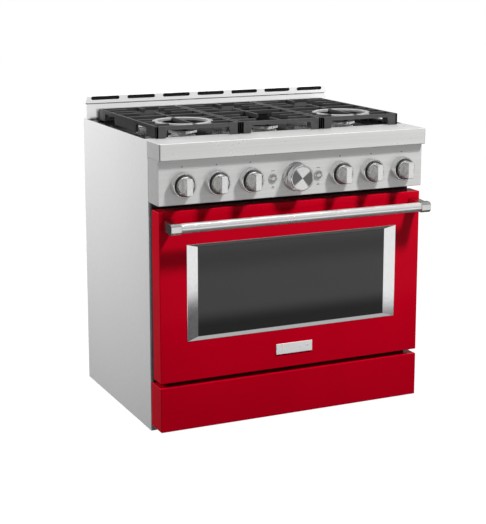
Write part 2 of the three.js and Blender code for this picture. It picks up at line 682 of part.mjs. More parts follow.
function controlPanel() {
  const half = bodyHalf;
  const yBack = bodyFront - FIT;
  const z = [panelBottom, rimBottom - FIT];
  const innerX = [SHEET - half, half - SHEET];
  let panel = block([-half, half], [panelFront, yBack], z);
  panel = panel.subtract(block(innerX, [panelFront + SHEET, yBack + CUT], [z[0] + SHEET, z[1] - SHEET]));
  const behindLip = [panelFront + PANEL_BOTTOM_LIP, yBack + CUT];
  panel = panel.subtract(block(innerX, behindLip, [z[0] - CUT, z[1] + CUT]));
  const face = -panelFront;
  const root = face - SHEET / 2;
  const bezel = turned(
    [
      [BEZEL_OUTER - BEZEL_WALL, root],
      [BEZEL_OUTER, root],
      [BEZEL_OUTER, face + BEZEL_DEPTH],
      [BEZEL_OUTER - BEZEL_WALL, face + BEZEL_DEPTH],
      [BEZEL_OUTER - BEZEL_WALL, root],
    ],
    20,
    true,
  );
  for (const x of knobXs) {
    panel = panel.add(bezel.translate([x, 0, controlZ]));
    panel = panel.subtract(controlHole(x, STEM_RADIUS + STEM_ROOM));
  }
  const ovenRing = turned(
    [
      [0, root],
      [OVEN_RING_RADIUS, root],
      [OVEN_RING_RADIUS, face + OVEN_RING_DEPTH - RING_CHAMFER],
      [OVEN_RING_RADIUS - RING_CHAMFER, face + OVEN_RING_DEPTH],
      [0, face + OVEN_RING_DEPTH],
    ],
    24,
    true,
  );
  panel = panel.add(ovenRing.translate([0, 0, controlZ])).subtract(controlHole(0, STEM_RADIUS + STEM_ROOM));
  const buttonRing = turned(
    [
      [0, root],
      [BUTTON_BEZEL_RADIUS, root],
      [BUTTON_BEZEL_RADIUS - BUTTON_CHAMFER, face + BUTTON_BEZEL_DEPTH],
      [0, face + BUTTON_BEZEL_DEPTH],
    ],
    16,
    true,
  );
  for (const [, sign] of SIDES) {
    panel = panel.add(buttonRing.translate([sign * BUTTON_X, 0, controlZ]));
    panel = panel.subtract(controlHole(sign * BUTTON_X, BUTTON_RADIUS + RUN));
  }
  place("control_panel", panel, STAINLESS);
}

// A round hole through the control panel and whatever stands on its face.
function controlHole(x, radius) {
  const y = [panelFront - BEZEL_DEPTH - CUT, panelFront + SHEET + CUT];
  return bar([x, y[0], controlZ], [x, y[1], controlZ], radius, 16);
}

// ---- Burner knobs: each slides on its valve stem and turns it ----
function burnerKnobs() {
  const backFace = KNOB_BACK;
  const discFront = BEZEL_DEPTH + KNOB_PROUD;
  const tip = discFront + BLADE_DEPTH;
  const disc = turned(
    [
      [0, backFace],
      [knobRadius, backFace],
      [knobRadius, discFront - KNOB_CHAMFER],
      [knobRadius - KNOB_CHAMFER, discFront],
      [0, discFront],
    ],
    20,
    true,
  );
  const w = BLADE_WIDTH / 2;
  const h = BLADE_HEIGHT / 2;
  const grip = roundedRectangle([-w, w], [-h, h], BLADE_CORNER);
  const blade = prism(grip, "xz", -tip, RIVET - discFront, 2);
  const bore = bar([0, CUT, 0], [0, -backFace - STEM_IN_KNOB - KNOB_PUSH - FIT, 0], STEM_RADIUS + RUN, 12);
  const knob = disc.add(blade).subtract(bore);
  const stemLength = valveFront - FIT - panelFront + backFace + STEM_IN_KNOB;
  const flatY = [-stemLength - CUT, -stemLength + STEM_IN_KNOB];
  const flat = block([-STEM_RADIUS, STEM_RADIUS], flatY, [STEM_FLAT, STEM_RADIUS + CUT]);
  const stem = bar([0, 0, 0], [0, -stemLength, 0], STEM_RADIUS, 12).subtract(flat);
  knobXs.forEach((x, i) => {
    const serves = KNOB_SERVES[i].join("_");
    place(`valve_stem_${serves}`, stem, BRASS, [x, valveFront - FIT, controlZ]);
    place(`burner_knob_${serves}`, knob, POLISHED, [x, panelFront, controlZ]);
  });
}

// ---- Oven knob: a flat round dial with its own thermostat shaft ----
function ovenKnob() {
  const from = OVEN_RING_DEPTH + OVEN_KNOB_GAP;
  const to = from + OVEN_KNOB_DEPTH;
  const inside = valveFront - panelFront;
  const profile = [
    [0, -inside],
    [STEM_RADIUS, -inside],
    [STEM_RADIUS, from],
    [OVEN_KNOB_RADIUS - DIAL_CHAMFER, from],
    [OVEN_KNOB_RADIUS, from + DIAL_CHAMFER],
    [OVEN_KNOB_RADIUS, to - DIAL_CHAMFER],
    [OVEN_KNOB_RADIUS - DIAL_CHAMFER, to],
    [0, to],
  ];
  place("oven_knob", turned(profile, 28, true), POLISHED, [0, panelFront, controlZ]);
}

// ---- Push buttons: oven light and convection fan, each with a retaining flange ----
function pushButtons() {
  const front = BUTTON_BEZEL_DEPTH + BUTTON_PROUD;
  const flangeFront = -SHEET - FIT;
  const profile = [
    [0, flangeFront - BUTTON_FLANGE],
    [BUTTON_RADIUS + FLANGE_OVER, flangeFront - BUTTON_FLANGE],
    [BUTTON_RADIUS + FLANGE_OVER, flangeFront],
    [BUTTON_RADIUS, flangeFront],
    [BUTTON_RADIUS, front - BUTTON_CHAMFER],
    [BUTTON_RADIUS - BUTTON_CHAMFER, front],
    [0, front],
  ];
  const names = ["light_button", "fan_button"];
  SIDES.forEach(([, sign], i) => {
    place(names[i], turned(profile, 14, true), POLISHED, [sign * BUTTON_X, panelFront, controlZ]);
  });
}

// ---- Oven liner: the enamelled box, its front frame and the ledges that carry the racks ----
const OVEN_SIDE = 73.4; // cavity wall inside the side panel's face
const OVEN_FLOOR_UP = 60; // cavity floor above the door's bottom edge
const OVEN_ROOF_DOWN = 56; // cavity roof below the door's top edge
const OVEN_BACK = 147; // cavity back wall in front of the body's back
const OVEN_CORNER = 18;
const FRAME_OVER = 12; // oven frame above the control panel's bottom edge
const RACK_LEDGE = 9; // ledge beyond the wall
const RACK_LEDGE_THICKNESS = 3;
const RACK_POSITIONS = 5;
const RACKS = { lower: 1, upper: 3 };
const ovenHalf = bodyHalf - OVEN_SIDE;
const ovenFloor = doorBottom + OVEN_FLOOR_UP;
const ovenRoof = doorTop - OVEN_ROOF_DOWN;
const ovenBack = back - OVEN_BACK;
const rackPitch = (ovenRoof - ovenFloor) / (RACK_POSITIONS + 1);
const RACK_LEDGE_FRONT = 30; // ledge behind the oven frame
const RACK_LEDGE_BACK = 12; // ledge in front of the cavity's back wall
const rackLedgeY = [frameFront + RACK_LEDGE_FRONT, ovenBack - RACK_LEDGE_BACK];

const FAN_RADIUS = 72;
const FAN_SHAFT = 4;
const fanZ = (ovenFloor + ovenRoof) / 2;

// Door hinge: pivot inside the door's lower edge.
const HINGE_X = 46; // hinge plane inside the door's end
const HINGE_IN = 27.8; // pivot behind the door's face
const HINGE_UP = 23.5; // pivot above the door's bottom edge
const HINGE_BAR = 8; // arm thickness
const HINGE_BAR_HEIGHT = 12;
const HINGE_PIN = 4;
const HINGE_EYE = 7.6;
const HINGE_NOTCH = 9; // half width of the notch in the door
const HINGE_CHEEK = 2;
const HINGE_TAIL = 30; // arm behind the oven frame
const HINGE_HOOK = 8;
const HOOK_DROP = 10; // hook below the arm
const PIN_PROUD = 1; // pin past the cheek
const hingeX = doorHalf - HINGE_X;
const hingeY = doorFront + HINGE_IN;
const hingeZ = doorBottom + HINGE_UP;

function ovenLiner() {
  const w = ovenHalf;
  const cavity = roundedRectangle([-w, w], [ovenFloor, ovenRoof], OVEN_CORNER);
  const shellZ = [ovenFloor - SHEET, ovenRoof + SHEET];
  const shell = roundedRectangle([-w - SHEET, w + SHEET], shellZ, OVEN_CORNER + SHEET);
  const frameZ = [kickTop + FIT, panelBottom + FRAME_OVER];
  let liner = block([-frameHalf, frameHalf], [frameFront, bodyFront - FIT], frameZ);
  const pocketX = [SHEET - frameHalf, frameHalf - SHEET];
  const pocketZ = [frameZ[0] + SHEET, frameZ[1] - SHEET];
  liner = liner.subtract(block(pocketX, [frameFront + SHEET, bodyFront], pocketZ));
  liner = liner.add(prism(shell, "xz", frameFront, ovenBack + SHEET, 3));
  liner = liner.subtract(prism(cavity, "xz", frameFront - CUT, ovenBack, 3));
  for (let level = 1; level <= RACK_POSITIONS; level++) {
    const z = ovenFloor + level * rackPitch;
    for (const [, sign] of SIDES) {
      const across = span(sign, w - RACK_LEDGE, w + SHEET / 2);
      liner = liner.add(block(across, rackLedgeY, [z - RACK_LEDGE_THICKNESS, z]));
    }
  }
  const shaftHole = bar([0, ovenBack - CUT, fanZ], [0, ovenBack + SHEET + CUT, fanZ], FAN_SHAFT + RUN, 16);
  liner = liner.subtract(shaftHole);
  for (const [, sign] of SIDES) {
    const across = span(sign, hingeX - HINGE_BAR / 2 - RUN, hingeX + HINGE_BAR / 2 + RUN);
    const up = [hingeZ - HINGE_BAR_HEIGHT - RUN, hingeZ + HINGE_BAR_HEIGHT / 2 + RUN];
    liner = liner.subtract(block(across, [frameFront - CUT, frameFront + SHEET + CUT], up));
  }
  place("oven_liner", liner, OVEN_ENAMEL);
}

// ---- Oven racks: a wire frame with rods front to back, resting on the ledges ----
const RACK_SIDE = 5; // rack edge to the cavity wall
const RACK_RAIL = 6;
const RACK_ROD = 4;
const RACK_RODS = 11;
const RACK_CROSS_RODS = 1;
const RACK_SINK = 0.2; // rods below the rail's own faces
const RACK_FRONT_IN = 6; // rack behind the front end of its ledge
const RACK_BACK_IN = 52; // rack in front of the cavity's back wall, clear of the fan

function ovenRacks() {
  const half = ovenHalf - RACK_SIDE;
  const y = [rackLedgeY[0] + RACK_FRONT_IN, ovenBack - RACK_BACK_IN];
  let rack = block([-half, half], y, [0, RACK_RAIL]);
  const openX = [RACK_RAIL - half, half - RACK_RAIL];
  const openY = [y[0] + RACK_RAIL, y[1] - RACK_RAIL];
  rack = rack.subtract(block(openX, openY, [-CUT, RACK_RAIL + CUT]));
  const rodY = [y[0] + RACK_RAIL / 2, y[1] - RACK_RAIL / 2];
  for (let i = 1; i <= RACK_RODS; i++) {
    const x = -half + (2 * half * i) / (RACK_RODS + 1);
    const rodX = [x - RACK_ROD / 2, x + RACK_ROD / 2];
    rack = rack.add(block(rodX, rodY, [RACK_RAIL - RACK_ROD, RACK_RAIL - RACK_SINK]));
  }
  for (let i = 1; i <= RACK_CROSS_RODS; i++) {
    const at = y[0] + ((y[1] - y[0]) * i) / (RACK_CROSS_RODS + 1);
    const across = [RACK_RAIL / 2 - half, half - RACK_RAIL / 2];
    rack = rack.add(block(across, [at - RACK_ROD / 2, at + RACK_ROD / 2], [RACK_SINK, RACK_ROD - RACK_SINK]));
  }
  for (const [name, level] of Object.entries(RACKS)) {
    place(`oven_rack_${name}`, rack, POLISHED, [0, 0, ovenFloor + level * rackPitch + FIT]);
  }
}

// ---- Oven burners and the convection fan ----
const BROIL = [300, 150, 20];
const BROIL_WALL = 2;
const BROIL_PLATE = 8; // depth of the gas box above the open tray
const BROIL_BACK = 170; // broiler's back edge in front of the cavity's back wall
const BAKE_RADIUS = 9;
const BAKE_DROP = 28; // burner axis below the cavity floor
const BAKE_HALF = 230;
const BAKE_IN = 90; // burner inside the cavity's front and back
const FAN_BLADES = 8;
const FAN_DEPTH = 22;
const FAN_FROM_WALL = 8;
const FAN_TAIL = 30; // shaft behind the cavity's back wall
const FAN_PLATE = 2;
const FAN_HUB = 12;
const FAN_HUB_BACK = 4; // hub's end behind the blades' front edge
const FAN_BLADE_FROM = 26; // blade's inner end from the axis
const FAN_BLADE_HALF = 1;
const FAN_BLADE_INSET = 2; // blade's outer end inside the plate's edge

function broilBurner() {
  const top = ovenRoof - FIT;
  const x = BROIL[0] / 2;
  const y = [ovenBack - BROIL_BACK - BROIL[1], ovenBack - BROIL_BACK];
  const outer = block([-x, x], y, [top - BROIL[2], top]);
  const innerX = [BROIL_WALL - x, x - BROIL_WALL];
  const innerY = [y[0] + BROIL_WALL, y[1] - BROIL_WALL];
  const inner = block(innerX, innerY, [top - BROIL[2] - CUT, top - BROIL_PLATE]);
  place("broil_burner", outer.subtract(inner), GALVANISED);
}

function bakeBurner() {
  const z = ovenFloor - BAKE_DROP;
  const y = [frameFront + BAKE_IN, ovenBack - BAKE_IN];
  const points = [
    [-BAKE_HALF, y[0], z],
    [-BAKE_HALF, y[1], z],
    [BAKE_HALF, y[1], z],
    [BAKE_HALF, y[0], z],
  ];
  const loop = pipe(points, BAKE_RADIUS, 8);
  const feed = bar([0, y[1], z], [0, ovenBack + SHEET, z], BAKE_RADIUS, 8);
  place("bake_burner", loop.add(feed), GALVANISED);
}

function convectionFan() {
  const plateY = -FAN_FROM_WALL;
  let wheel = bar([0, FAN_TAIL, 0], [0, plateY - FAN_DEPTH, 0], FAN_SHAFT, 10);
  wheel = wheel.add(bar([0, plateY, 0], [0, plateY - FAN_PLATE, 0], FAN_RADIUS, 24));
  wheel = wheel.add(bar([0, plateY, 0], [0, plateY - FAN_DEPTH + FAN_HUB_BACK, 0], FAN_HUB, 12));
  for (let i = 0; i < FAN_BLADES; i++) {
    const along = [FAN_BLADE_FROM, FAN_RADIUS - FAN_BLADE_INSET];
    const deep = [plateY - FAN_DEPTH, plateY - FAN_PLATE / 2];
    const blade = block(along, deep, [-FAN_BLADE_HALF, FAN_BLADE_HALF]);
    wheel = wheel.add(blade.rotate([0, (360 * i) / FAN_BLADES, 0]));
  }
  place("convection_fan", wheel, GALVANISED, [0, ovenBack, fanZ]);
}

// ---- Door: enamelled outer shell, black inner panel, two panes, chrome window trim ----
const WINDOW_SIDE = 88; // window trim inside the door's end
const WINDOW_UP = 124.5; // trim's lower edge above the door's bottom edge
const WINDOW_DOWN = 105; // trim's upper edge below the door's top edge
const TRIM_SIDE = 38;
const TRIM_RAIL = 10;
const TRIM_DEPTH = 7; // glass behind the door's face
const TRIM_THIN = 0.8; // inner edge of the trim
const TRIM_PROUD = 0.6;
const GLASS = 4;
const GLASS_LAP = 8; // outer pane beyond the trim
const INNER_WINDOW_SIDE = 150; // inner window inside the door's end
const INNER_WINDOW_MARGIN = 25; // inner window above and below, inside the outer one
const INNER_BOSS = 6; // raised face of the inner panel
const INNER_BOSS_SIDE = 85;
const INNER_BOSS_UP = 66;
const INNER_BOSS_DOWN = 60;
const windowHalf = doorHalf - WINDOW_SIDE;
const windowZ = [doorBottom + WINDOW_UP, doorTop - WINDOW_DOWN];

// The notch that lets the door swing past each hinge arm.
function hingeNotches() {
  const through = [hingeY - HINGE_NOTCH, doorBack + INNER_BOSS + CUT];
  const up = [doorBottom - CUT, hingeZ + HINGE_NOTCH];
  const [left, right] = SIDES.map(([, sign]) =>
    block(span(sign, hingeX - HINGE_NOTCH, hingeX + HINGE_NOTCH), through, up),
  );
  return left.add(right);
}

function doorOuterPanel() {
  const outer = block([-doorHalf, doorHalf], [doorFront, doorBack], [doorBottom, doorTop]);
  const innerX = [SHEET - doorHalf, doorHalf - SHEET];
  const inner = block(innerX, [doorFront + SHEET, doorBack + CUT], [doorBottom + SHEET, doorTop - SHEET]);
  const hole = windowHalf + FIT;
  const holeY = [doorFront - CUT, doorFront + SHEET + CUT];
  const opening = block([-hole, hole], holeY, [windowZ[0] - FIT, windowZ[1] + FIT]);
  place("door_outer_panel", outer.subtract(inner).subtract(opening).subtract(hingeNotches()), RED_ENAMEL);
}

function windowTrim() {
  const glassFace = doorFront + TRIM_DEPTH;
  const rear = glassFace - FIT;
  const x = windowHalf;
  const [z0, z1] = windowZ;
  const stock = block([-x, x], [doorFront - TRIM_PROUD, rear], windowZ);
  // The cut is a shallow funnel: the trim's full outline at the face, the bare glass at the back.
  const face = doorFront - TRIM_PROUD - CUT;
  const grow = TRIM_THIN / TRIM_DEPTH;
  const corners = [
    [-x - TRIM_SIDE * grow, z0 - TRIM_RAIL * grow],
    [x + TRIM_SIDE * grow, z0 - TRIM_RAIL * grow],
    [x + TRIM_SIDE * grow, z1 + TRIM_RAIL * grow],
    [-x - TRIM_SIDE * grow, z1 + TRIM_RAIL * grow],
    [TRIM_SIDE - x, z0 + TRIM_RAIL],
    [x - TRIM_SIDE, z0 + TRIM_RAIL],
    [x - TRIM_SIDE, z1 - TRIM_RAIL],
    [TRIM_SIDE - x, z1 - TRIM_RAIL],
  ];
  const near = corners.slice(0, 4).map(([u, v]) => new THREE.Vector3(u, face, v));
  const far = corners.slice(4).map(([u, v]) => new THREE.Vector3(u, rear - TRIM_THIN, v));
  const funnel = frustum(near, far);
  const bare = block([TRIM_SIDE - x, x - TRIM_SIDE], [face, rear + CUT], [z0 + TRIM_RAIL, z1 - TRIM_RAIL]);
  place("window_trim", stock.subtract(funnel).subtract(bare), POLISHED);
}

// A closed solid between two four-sided faces, the near one and the far one.
function frustum(near, far) {
  const geometry = new THREE.BufferGeometry();
  const points = [...near, ...far].flatMap((p) => p.toArray());
  const quads = [
    [0, 1, 2, 3],
    [7, 6, 5, 4],
    [0, 4, 5, 1],
    [1, 5, 6, 2],
    [2, 6, 7, 3],
    [3, 7, 4, 0],
  ];
  const faces = quads.flatMap(([a, b, c, d]) => [a, b, c, a, c, d]);
  geometry.setAttribute("position", new THREE.Float32BufferAttribute(points, 3));
  geometry.setIndex(faces);
  return solid(geometry);
}

function doorGlass() {
  const outerHalf = windowHalf + GLASS_LAP;
  const y = doorFront + TRIM_DEPTH;
  const up = [windowZ[0] - GLASS_LAP, windowZ[1] + GLASS_LAP];
  place("window_outer_glass", block([-outerHalf, outerHalf], [y, y + GLASS], up), DARK_GLASS);
  const innerHalf = doorHalf - INNER_WINDOW_SIDE + GLASS_LAP;
  const innerY = doorBack + INNER_BOSS - SHEET - FIT;
  const margin = INNER_WINDOW_MARGIN - GLASS_LAP;
  const innerUp = [windowZ[0] + margin, windowZ[1] - margin];
  place("window_inner_glass", block([-innerHalf, innerHalf], [innerY - GLASS, innerY], innerUp), DARK_GLASS);
}

function doorInnerPanel() {
  const half = doorHalf - SHEET - FIT;
  const z = [doorBottom + SHEET + FIT, doorTop - SHEET - FIT];
  const bossX = doorHalf - INNER_BOSS_SIDE;
  const bossZ = [doorBottom + INNER_BOSS_UP, doorTop - INNER_BOSS_DOWN];
  const proud = doorBack + INNER_BOSS;
  let panel = block([-half, half], [doorBack - SHEET, doorBack], z);
  panel = panel.add(block([-bossX, bossX], [doorBack - SHEET, proud], bossZ));
  const pocketZ = [bossZ[0] + SHEET, bossZ[1] - SHEET];
  const pocketX = [SHEET - bossX, bossX - SHEET];
  panel = panel.subtract(block(pocketX, [doorBack - SHEET - CUT, proud - SHEET], pocketZ));
  const windowX = doorHalf - INNER_WINDOW_SIDE;
  const sight = [windowZ[0] + INNER_WINDOW_MARGIN, windowZ[1] - INNER_WINDOW_MARGIN];
  panel = panel.subtract(block([-windowX, windowX], [proud - SHEET - CUT, proud + CUT], sight));
  panel = panel.subtract(hingeNotches());
  const pivot = [hingeY, hingeZ];
  for (const [, sign] of SIDES) {
    for (const side of [-1, 1]) {
      const plane = sign * hingeX + side * (HINGE_BAR / 2 + RUN + HINGE_CHEEK / 2);
      const outline = [
        [pivot[0] - HINGE_PIN * 2, pivot[1] - HINGE_PIN * 2],
        [pivot[0] + HINGE_PIN * 2, pivot[1] - HINGE_PIN * 2],
        [doorBack - SHEET / 2, pivot[1] + HINGE_NOTCH + 2],
        [doorBack - SHEET / 2, pivot[1] + HINGE_NOTCH + 26],
        [pivot[0] - HINGE_PIN * 2, pivot[1] + HINGE_NOTCH],
      ];
      panel = panel.add(prism(outline, "yz", plane - HINGE_CHEEK / 2, plane + HINGE_CHEEK / 2));
    }
    const reach = HINGE_BAR / 2 + RUN + HINGE_CHEEK + 1;
    const ends = [sign * hingeX - reach, sign * hingeX + reach];
    panel = panel.subtract(bar([ends[0], ...pivot], [ends[1], ...pivot], HINGE_PIN + RUN, 16));
  }
  place("door_inner_panel", panel, BLACK_ENAMEL);
}

// ---- Door hinges: an arm hooked into the oven frame, with the pivot pin at its end ----
function doorHinges() {
  const behind = frameFront + SHEET + FIT;
  const half = HINGE_BAR_HEIGHT / 2;
  for (const [side, sign] of SIDES) {
    const across = [sign * hingeX - HINGE_BAR / 2, sign * hingeX + HINGE_BAR / 2];
    const arm = block(across, [hingeY, behind + HINGE_TAIL], [hingeZ - half, hingeZ + half]);
    const hook = block(across, [behind, behind + HINGE_HOOK], [hingeZ - half - HOOK_DROP, hingeZ]);
    const eye = bar([across[0], hingeY, hingeZ], [across[1], hingeY, hingeZ], HINGE_EYE, 16);
    const reach = RUN + HINGE_CHEEK + PIN_PROUD;
    const pin = bar([across[0] - reach, hingeY, hingeZ], [across[1] + reach, hingeY, hingeZ], HINGE_PIN, 12);
    place(`hinge_arm_${side}`, arm.add(hook).add(eye).add(pin), GALVANISED);
  }
}

// ---- Door handle: a round bar held between two cast end brackets ----
const HANDLE_RADIUS = 15;
const HANDLE_DROP = 39; // bar axis below the door's top edge
const BRACKET_CAP = 33; // height and depth of the end cap
const BRACKET_CHAMFER = 7;
const BRACKET_END = 7; // bracket inside the door's end
const BRACKET_WIDTH = 33;
const BRACKET_FOOT_WIDTH = 29;
const BRACKET_FOOT_HEIGHT = 39;
const handleZ = doorTop - HANDLE_DROP;
const handleY = handleFront + BRACKET_CAP / 2;
const bracketX = doorHalf - BRACKET_END;

function doorHandle() {
  const reach = bracketX - BRACKET_WIDTH - FIT;
  const [from, to] = [-reach, reach].map((x) => [x, handleY, handleZ]);
  place("handle_bar", bar(from, to, HANDLE_RADIUS, 24), POLISHED);
  const h = BRACKET_CAP / 2;
  const c = BRACKET_CHAMFER;
  const capOutline = [
    [handleY - h + c, handleZ - h],
    [handleY + h - c, handleZ - h],
    [handleY + h, handleZ - h + c],
    [handleY + h, handleZ + h - c],
    [handleY + h - c, handleZ + h],
    [handleY - h + c, handleZ + h],
    [handleY - h, handleZ + h - c],
    [handleY - h, handleZ - h + c],
  ];
  const foot = BRACKET_FOOT_HEIGHT / 2;
  const legOutline = [
    [doorFront - FIT, handleZ - foot],
    [doorFront - FIT, handleZ + foot],
    [handleY, handleZ + h - 3],
    [handleY, handleZ - h + 3],
  ];
  for (const [side, sign] of SIDES) {
    const capX = span(sign, bracketX - BRACKET_WIDTH, bracketX);
    const legX = span(sign, bracketX - BRACKET_WIDTH, bracketX - BRACKET_WIDTH + BRACKET_FOOT_WIDTH);
    const cap = prism(capOutline, "yz", capX[0], capX[1]);
    const leg = prism(legOutline, "yz", legX[0], legX[1]);
    place(`handle_bracket_${side}`, cap.add(leg), POLISHED);
  }
}

levellingFeet();
chassisPan();
sidePanels();
backPanel();
kickPanel();
frontRim();
backguard();
cooktopPan();
burners();
grates();
gasManifold();
controlPanel();
burnerKnobs();
ovenKnob();
pushButtons();
ovenLiner();
ovenRacks();
broilBurner();
bakeBurner();
convectionFan();
doorOuterPanel();
windowTrim();
doorGlass();
doorInnerPanel();
doorHinges();
doorHandle();

export default range;
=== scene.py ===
import math

import bmesh
import bpy
from mathutils import Matrix, Vector


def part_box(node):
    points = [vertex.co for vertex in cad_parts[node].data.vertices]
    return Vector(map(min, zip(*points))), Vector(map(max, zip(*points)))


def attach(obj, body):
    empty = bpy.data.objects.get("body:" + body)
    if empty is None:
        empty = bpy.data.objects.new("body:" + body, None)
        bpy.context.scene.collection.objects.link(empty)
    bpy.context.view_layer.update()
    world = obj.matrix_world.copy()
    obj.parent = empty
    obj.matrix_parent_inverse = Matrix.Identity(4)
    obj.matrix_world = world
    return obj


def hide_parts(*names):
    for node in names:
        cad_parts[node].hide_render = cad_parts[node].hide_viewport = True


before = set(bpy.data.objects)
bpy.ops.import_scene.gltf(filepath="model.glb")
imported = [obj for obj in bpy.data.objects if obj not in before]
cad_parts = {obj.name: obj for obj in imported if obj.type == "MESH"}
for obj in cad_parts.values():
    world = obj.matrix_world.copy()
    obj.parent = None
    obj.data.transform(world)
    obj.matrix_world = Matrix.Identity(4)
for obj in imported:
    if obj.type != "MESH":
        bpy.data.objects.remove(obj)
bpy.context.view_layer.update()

# ---- Levelling feet ----
# Four black moulded feet, each a round pad on a threaded stem that screws up into the chassis pan.
# Each is turned by hand to level the range.
MM = 0.001
SHARP = math.radians(38)


def eased(points, radius, steps=3, closed=False):
    """The same outline with its corners rounded."""
    result = []
    for i, point in enumerate(points):
        here = Vector(point)
        if not closed and i in (0, len(points) - 1):
            result.append(here)
            continue
        to_before = Vector(points[i - 1]) - here
        to_after = Vector(points[(i + 1) % len(points)]) - here
        reach = min(radius, 0.45 * to_before.length, 0.45 * to_after.length)
        start = here + to_before.normalized() * reach
        end = here + to_after.normalized() * reach
        for step in range(steps + 1):
            t = step / steps
            result.append(start.lerp(here, t).lerp(here.lerp(end, t), t))
    return result


def turned(profile, centre, sides=48, to_front=False, closed=False):
    """A turned shape: (radius, distance) pairs round the upright axis, or round the axis to the front."""
    shape = bmesh.new()
    rings = []
    for radius, height in profile:
        ring = []
        for i in range(sides if radius > 1e-7 else 1):
            angle = 2 * math.pi * i / sides
            across = radius * math.cos(angle)
            other = radius * math.sin(angle)
            offset = (across, -height, other) if to_front else (across, other, height)
            ring.append(shape.verts.new(Vector(centre) + Vector(offset)))
        rings.append(ring)
    pairs = list(zip(rings, rings[1:]))
    if closed:
        pairs.append((rings[-1], rings[0]))
    for low, high in pairs:
        for i in range(sides):
            j = (i + 1) % sides
            corners = [low[i % len(low)], low[j % len(low)], high[j % len(high)], high[i % len(high)]]
            corners = list(dict.fromkeys(corners))
            if len(corners) > 2:
                shape.faces.new(corners)
    bmesh.ops.recalc_face_normals(shape, faces=shape.faces)
    return shape


def settled(made):
    """The object's mesh with its modifiers applied."""
    bpy.context.view_layer.update()
    graph = bpy.context.evaluated_depsgraph_get()
    source = made.evaluated_get(graph)
    return bpy.data.meshes.new_from_object(source, preserve_all_data_layers=True, depsgraph=graph)


def placed(name, data):
    """A new object in the scene."""
    made = bpy.data.objects.new(name, data)
    bpy.context.scene.collection.objects.link(made)
    return made


def piece(name, shape, finish, body, slot, *nodes, sharp=SHARP):
    """Put a finished shape on its body, in place of the named nodes."""
    mesh = bpy.data.meshes.new(name)
    shape.to_mesh(mesh)
    shape.free()
    mesh.materials.append(finish)
    mesh.shade_smooth()
    mesh.set_sharp_from_angle(angle=sharp)
    made = placed(name, mesh)
    made.modifiers.new("even shading", "WEIGHTED_NORMAL").keep_sharp = True
    made.data = settled(made)
    made.modifiers.clear()
    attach(made, body)
    if nodes:
        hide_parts(*nodes)
    return made


def effect(name, inputs, outputs):
    """An empty shader group with named inputs and outputs."""
    group = bpy.data.node_groups.new(name, "ShaderNodeTree")
    for label, kind, value in inputs:
        socket = group.interface.new_socket(label, in_out="INPUT", socket_type="NodeSocket" + kind)
        if value is not None:
            socket.default_value = value
    for label in outputs:
        group.interface.new_socket(label, in_out="OUTPUT", socket_type="NodeSocketFloat")
    return group, group.nodes.new("NodeGroupInput"), group.nodes.new("NodeGroupOutput")


def feed(tree, made, *given, **named):
    """Give a node's inputs, by place or by name, a link from a node or socket, or a value."""
    for key, value in [*enumerate(given), *named.items()]:
        socket = made.inputs[key if isinstance(key, int) else key.replace("_", " ")]
        if isinstance(value, bpy.types.Node):
            value = value.outputs[0]
        if isinstance(value, bpy.types.NodeSocket):
            tree.links.new(value, socket)
        else:
            socket.default_value = value
    return made


def add_node(tree, kind, *given, operation=None, mode=None, **named):
    """A new node, set to what it does, with its inputs fed."""
    made = tree.nodes.new(kind)
    if operation:
        made.operation = operation
    if mode:
        made.mode = mode
    return feed(tree, made, *given, **named)


def noise(group, vector, scale, detail=4.0):
    """A noise node inside a group or a material."""
    made = add_node(group, "ShaderNodeTexNoise", Scale=scale, Detail=detail, Vector=vector)
    return made


def scaled(group, start, factor):
    """The group's coordinates times one of its inputs."""
    place = start.outputs["Vector"]
    made = add_node(group, "ShaderNodeVectorMath", place, operation="SCALE", Scale=start.outputs[factor])
    return made.outputs[0]


# Faint smears and settled dust, which every finish takes with its own size.
smears, smears_in, smears_out = effect(
    "smears and dust", [("Vector", "Vector", None), ("Size", "Float", 6.0)], ["Value"]
)
smear_place = scaled(smears, smears_in, "Size")
smear_broad = noise(smears, smear_place, 1.0, 3.0)
smear_fine = noise(smears, smear_place, 14.0, 5.0)
smear_mix = add_node(smears, "ShaderNodeMath", smear_broad, smear_fine, operation="MULTIPLY")
feed(smears, smears_out, Value=smear_mix)

# The skin of a moulding or a casting: fine grains over slow lumps.
skin, skin_in, skin_out = effect(
    "moulded skin", [("Vector", "Vector", None), ("Grain", "Float", 900.0)], ["Tone", "Height"]
)
skin_place = scaled(skin, skin_in, "Grain")
skin_grains = noise(skin, skin_place, 1.0, 6.0)
skin_lumps = noise(skin, skin_place, 0.06, 2.0)
feed(skin, skin_out, Tone=skin_lumps, Height=skin_grains)


